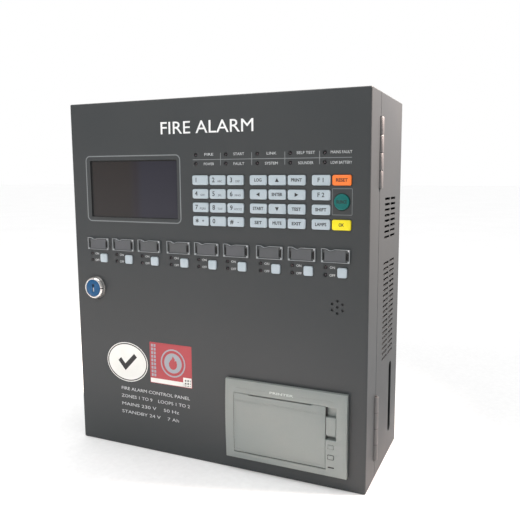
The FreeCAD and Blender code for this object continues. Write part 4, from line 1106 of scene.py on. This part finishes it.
def teethTree():
    """Small pointed teeth in a row, as on a tear bar."""
    tree, given = nodeTree("tearTeeth", {"Width": 0.7 * mm, "Height": 0.8 * mm, "Turn": (0, 0, 0)})
    tooth = addNode(tree, "GeometryNodeMeshCone", Vertices=4, Radius_Top=0, Radius_Bottom=given["Width"],
                    Depth=given["Height"])
    return endTree(tree, given, tooth.outputs["Mesh"])


def makePaperPath():
    """What the flap carries and hides: a tear bar along the slot, a rubber platen, and the head behind it."""
    low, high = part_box("printer_door")
    left = (low.x - doorLow.x) / mm + 2.0 + 17.2
    top = (high.z - doorLow.z) / mm - 1.0
    pitch = printer["tearPitch"]
    places = [onDoor(left + pitch * (step + 0.5), top - 0.2, 2.6) for step in range(int(72.2 / pitch))]
    teeth = repeated("tear_teeth", teethTree(), places, finishes["steel"], Width=0.7 * mm, Height=0.8 * mm,
                     Turn=(0, 0, 0))
    riding(teeth, "printer_door")
    lip = rulePlate(left + 1, top - 1.0, 70.2, 0.7, 1.2, 5.25)
    riding(newPiece("tear_bar", lip, finishes["steel"]), "printer_door")

    platen = printer["platen"]
    turns = [2 * math.pi * step / 40 for step in range(40)]
    x0, x1 = left + 6, left + 66
    z, y = top - platen["below"], platen["behind"]

    def ring(x, radius):
        return [onDoor(x, z + radius * math.sin(turn), -y + radius * math.cos(turn)) for turn in turns]

    rubber = loft([ring(x0, platen["radius"] - 0.4), ring(x0 + 0.4, platen["radius"]),
                   ring(x1 - 0.4, platen["radius"]), ring(x1, platen["radius"] - 0.4)])
    shaft = loft([ring(x0 - 4, 1.4), ring(x1 + 4, 1.4)])
    riding(newPiece("platen_roller", joined([(rubber, 0), (shaft, 1)]), finishes["black"], finishes["steel"]),
           "printer_door")
    headLeft, width, headLow, headHigh, front, back = printer["head"]
    fins = [brick(headLeft + width / 2, headLow + 2 + 3 * step, width, 1.2, back, front, 0.4, 0.2)
            for step in range(int((headHigh - headLow) / 3))]
    block = brick(headLeft + width / 2, (headLow + headHigh) / 2, width - 4, headHigh - headLow, back, front - 2.5)
    riding(newPiece("print_head", joined(fins + [block]), finishes["steel"]), "door")
    print("paper path made")


# ---- control board on the door ----

controlBoard = {
    "chips": ((232.0, 286.0, 20.0, 20.0, 2.2), (282.0, 300.0, 12.0, 8.0, 1.8), (282.0, 280.0, 12.0, 8.0, 1.8),
              (196.0, 246.0, 16.0, 9.0, 2.0), (120.0, 246.0, 16.0, 9.0, 2.0), (60.0, 246.0, 16.0, 9.0, 2.0)),
    "headers": ((90.0, 222.0, 36.0, 7.0, 8.5), (190.0, 222.0, 46.0, 7.0, 8.5), (290.0, 222.0, 30.0, 7.0, 8.5)),
    "capacitors": ((176.0, 322.0), (186.0, 322.0), (196.0, 322.0), (310.0, 330.0), (320.0, 330.0), (330.0, 330.0)),
    "legPitch": 1.27,
}


def brick(x, z, width, height, back, front, corner=0.5, edge=0.3):
    """A block with soft corners, centred on a place on the door; back and front are how proud its faces are."""
    centre = (doorLow.x + x * mm, doorLow.z + z * mm)
    soft = edge if front > back else -edge
    rings = [roundedRing(centre, width / 2 * mm, height / 2 * mm, corner * mm, back * mm, 3),
             roundedRing(centre, width / 2 * mm, height / 2 * mm, corner * mm, (front - soft) * mm, 3),
             roundedRing(centre, (width / 2 - edge) * mm, (height / 2 - edge) * mm, max(corner - edge, 0.1) * mm,
                         front * mm, 3)]
    return loft(rings)


def chip(x, z, width, height, depth, back, outward=1):
    """A packaged circuit with its row of legs on both long sides, as pairs of mesh and material number."""
    parts = [(brick(x, z, width, height, back + 0.2 * outward, back + depth * outward, 0.3, 0.2), 0)]
    count = int((width - 1) / controlBoard["legPitch"])
    start = x - (count - 1) * controlBoard["legPitch"] / 2
    for step in range(count):
        for side in (-1, 1):
            leg = brick(start + step * controlBoard["legPitch"], z + side * (height / 2 + 0.5), 0.45, 1.2,
                        back, back + 0.5 * outward, 0.1, 0.08)
            parts.append((leg, 1))
    parts.append((brick(x - width / 2 + 1.6, z + height / 2 - 1.6, 1.2, 1.2, back + depth * outward,
                        back + (depth + 0.03) * outward, 0.55, 0.01), 1))
    return parts


def canTree():
    """An upright capacitor: a sleeve with a bare top and a turned-in rim."""
    tree, given = nodeTree("capacitorCan", {"Radius": 4 * mm, "Height": 11 * mm, "Turn": outward})
    sleeve = addNode(tree, "GeometryNodeMeshCylinder", Vertices=28, Radius=given["Radius"], Depth=given["Height"])
    half = addNode(tree, "ShaderNodeMath", Value=given["Height"])
    half.operation = "MULTIPLY"
    half.inputs[1].default_value = 0.5
    inner = addNode(tree, "ShaderNodeMath", Value=given["Radius"])
    inner.operation = "MULTIPLY"
    inner.inputs[1].default_value = 0.84
    top = addNode(tree, "GeometryNodeMeshCone", Vertices=28, Radius_Top=inner.outputs["Value"],
                  Radius_Bottom=given["Radius"], Depth=0.5 * mm)
    return endTree(tree, given, combined(tree, lifted(tree, sleeve.outputs["Mesh"], half.outputs["Value"]),
                                         lifted(tree, top.outputs["Mesh"], given["Height"])))


def makeControlBoard():
    back = -(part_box("control_board")[1].y - faceY) / mm
    parts = []
    for x, z, width, height, depth in controlBoard["chips"]:
        parts += chip(x, z, width, height, depth, back, -1)
    for x, z, width, height, depth in controlBoard["headers"]:
        parts.append((brick(x, z, width, height, back, back - depth, 0.6, 0.4), 0))
        pins = int(width / 2.54) - 1
        parts += [(brick(x + (pin - (pins - 1) / 2) * 2.54, z + side, 0.7, 0.7, back - depth + 2,
                         back - depth - 1.2, 0.1, 0.08), 2) for pin in range(pins) for side in (-1.3, 1.3)]
    piece = newPiece("control_parts", joined(parts), finishes["black"], finishes["steel"], finishes["gold"])
    riding(piece, "door")
    places = [onDoor(x, z, back) for x, z in controlBoard["capacitors"]]
    riding(repeated("control_capacitors", canTree(), places, finishes["battery"], Radius=3.2 * mm,
                    Height=9 * mm, Turn=inward), "door")
    corners = [onDoor(x, z, back) for x in (19.5, 163.0, 340.5) for z in (219.5, 349.5)]
    riding(repeated("control_screws", screwTree(), corners, finishes["steel"], Radius=2.6 * mm, Height=1.6 * mm,
                    Turn=inward), "door")
    print("control board made")


# ---- loop board, power supply and batteries in the cabinet ----

loopBoard = {
    "terminals": 26,
    "terminalPitch": 10.2,
    "terminalSize": (9.6, 11.0, 12.0),
    "chips": ((110.0, 330.0, 18.0, 18.0, 2.2), (150.0, 330.0, 14.0, 8.0, 1.8), (150.0, 312.0, 14.0, 8.0, 1.8),
              (70.0, 336.0, 14.0, 8.0, 1.8), (220.0, 352.0, 14.0, 8.0, 1.8)),
    "relays": ((200.0, 300.0), (222.0, 300.0), (244.0, 300.0), (266.0, 300.0), (288.0, 300.0)),
    "capacitors": ((60.0, 300.0), (74.0, 300.0), (88.0, 300.0), (102.0, 300.0), (280.0, 350.0), (296.0, 350.0)),
}
supply = {"holePitch": 6.0, "holeRows": 9, "holeColumns": 15, "terminals": 9}
batteryLook = {"lidLine": 12.0, "terminalHeight": 5.0}


def makeLoopBoard():
    low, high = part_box("loop_board")
    front = -(low.y - faceY) / mm
    left, bottom = (low.x - doorLow.x) / mm, (low.z - doorLow.z) / mm
    width = (high.x - low.x) / mm
    count, pitch = loopBoard["terminals"], loopBoard["terminalPitch"]
    start = left + width / 2 - (count - 1) * pitch / 2
    places = [onDoor(start + pitch * step, bottom + 8, front) for step in range(count)]
    terminals = repeated("loop_terminals", blockTree(), places, finishes["terminal"],
                         Size=tuple(size * mm for size in loopBoard["terminalSize"]), Well=3.2 * mm, Turn=outward)
    riding(terminals, "cabinet")
    heads = [place + Vector((0, -(loopBoard["terminalSize"][2] / 2 + 0.2) * mm, 0)) for place in places]
    riding(repeated("loop_screws", screwTree(), heads, finishes["steel"], Radius=2.8 * mm, Height=1.6 * mm,
                    Turn=outward), "cabinet")
    parts = []
    for x, z, wide, high, depth in loopBoard["chips"]:
        parts += chip(x, z, wide, high, depth, front)
    parts += [(brick(x, z, 16, 28, front, front + 14, 0.8, 0.6), 2) for x, z in loopBoard["relays"]]
    riding(newPiece("loop_parts", joined(parts), finishes["black"], finishes["steel"], finishes["blue"]), "cabinet")
    cans = [onDoor(x, z, front) for x, z in loopBoard["capacitors"]]
    riding(repeated("loop_capacitors", canTree(), cans, finishes["battery"], Radius=5 * mm, Height=16 * mm,
                    Turn=outward), "cabinet")
    corners = [onDoor(left + x, bottom + z, front) for x in (4.5, width - 4.5) for z in (4.5, 123.5)]
    riding(repeated("loop_board_screws", screwTree(), corners, finishes["steel"], Radius=2.6 * mm,
                    Height=1.6 * mm, Turn=outward), "cabinet")


def makeSupply():
    cover = softened("power_supply", "supply_cover", 0.6, (finishes["supply"],))
    riding(cover, "cabinet")
    low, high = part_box("power_supply")
    front = -(low.y - faceY) / mm
    left, bottom = (low.x - doorLow.x) / mm, (low.z - doorLow.z) / mm
    width, height = (high.x - low.x) / mm, (high.z - low.z) / mm
    pitch = supply["holePitch"]
    places = [onDoor(left + width - 14 - pitch * column - (row % 2) * pitch / 2, bottom + height - 14 - row * 5.2, front)
              for column in range(supply["holeColumns"]) for row in range(supply["holeRows"])]
    # dark discs on the cover, as painted shade for its vent holes
    riding(repeated("supply_vent_shade", discTree(), places, finishes["shadow"], Radius=1.9 * mm, Height=0.3 * mm,
                    Turn=outward), "cabinet")
    count = supply["terminals"]
    blocks = [onDoor(left + 18 + 10.5 * step, bottom + 14, front) for step in range(count)]
    riding(repeated("supply_terminals", blockTree(), blocks, finishes["black"],
                    Size=(9.8 * mm, 14 * mm, 11 * mm), Well=3.4 * mm, Turn=outward), "cabinet")
    heads = [place + Vector((0, -5.8 * mm, 0)) for place in blocks]
    heads += [onDoor(left + x, bottom + z, front) for x in (6, width - 6) for z in (32, height - 6)]
    riding(repeated("supply_screws", screwTree(), heads, finishes["steel"], Radius=3 * mm, Height=1.6 * mm,
                    Turn=outward), "cabinet")
    plateMesh = plate([roundedLoop(left + 12, bottom + 38, 46, 46, 1)], front, front + 0.2)
    rows = [rulePlate(left + 16, bottom + 44 + 7 * row, (38, 30, 34, 22, 36)[row], 2.2, front + 0.15, front + 0.3)
            for row in range(5)]
    label = joined([(plateMesh, 0)] + [(row, 1) for row in rows])
    riding(newPiece("supply_label", label, finishes["sticker"], finishes["ink"]), "cabinet")


def makeBatteries():
    cases = softened("batteries", "battery_cases", 1.0, (finishes["battery"], finishes["gold"]), 3)
    low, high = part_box("batteries")
    shoulder = high.z - (batteryLook["terminalHeight"] - 0.2) * mm
    for polygon in cases.data.polygons:
        if polygon.center.z > shoulder:
            polygon.material_index = 1
    riding(cases, "cabinet")
    front = -(low.y - faceY) / mm
    left, bottom, wide = (low.x - doorLow.x) / mm, (low.z - doorLow.z) / mm, 151.0
    parts, marks = [], []
    for number in range(2):
        x = left + (wide + 5) * number
        parts.append((rulePlate(x + 1.2, bottom + 94 - batteryLook["lidLine"], wide - 2.4, 0.7, front, front + 0.15), 1))
        parts.append((plate([roundedLoop(x + 26, bottom + 20, 99, 50, 2)], front, front + 0.25), 0))
        parts += [(rulePlate(x + 34, bottom + 28 + 9 * row, (60, 74, 46, 66)[row], 3.2, front + 0.2, front + 0.35), 1)
                  for row in range(4)]
        for side, inset in enumerate((12.0, wide - 12.0)):
            marks.append((brick(x + inset, bottom + 84, 9, 6, front, front + 0.6, 1.0, 0.3), side))
    riding(newPiece("battery_labels", joined(parts), finishes["sticker"], finishes["shadow"]), "cabinet")
    riding(newPiece("battery_marks", joined(marks), finishes["red"], finishes["black"]), "cabinet")
    print("cabinet contents made")


# ---- finishes of the carried CAD parts ----

carried = {
    "rear_box": "paint", "door_panel": "paint", "hinge_pins": "pin", "display_window": "pane", "control_board": "board", "loop_board": "board",
    "paper_roll": "paper", "lock_cam": "steel",
}


def paintCarried():
    for node, colour in carried.items():
        mesh = frame["nodes"][node].data
        mesh.materials.clear()
        mesh.materials.append(finishes[colour])


def makeFloor():
    half = lights["floorSize"] / 2
    level = boxLow.z - 0.2 * mm
    mesh = bpy.data.meshes.new("floor")
    mesh.from_pydata([(-half, -half, level), (half, -half, level), (half, half, level), (-half, half, level)], [],
                     [(0, 1, 2, 3)])
    newPiece("floor", mesh, finishes["floor"])


placeCamera()
placeLights()
finishes = makeFinishes()
print("finishes made:", len(finishes))
paintCarried()
makeFloor()
makeKeys()
makeDoorPrint()
makeStickers()
makeLamps()
makeLabelHolders()
makeLock()
makeHinges()
makePrinter()
makePaperPath()
makeControlBoard()
makeLoopBoard()
makeSupply()
makeBatteries()
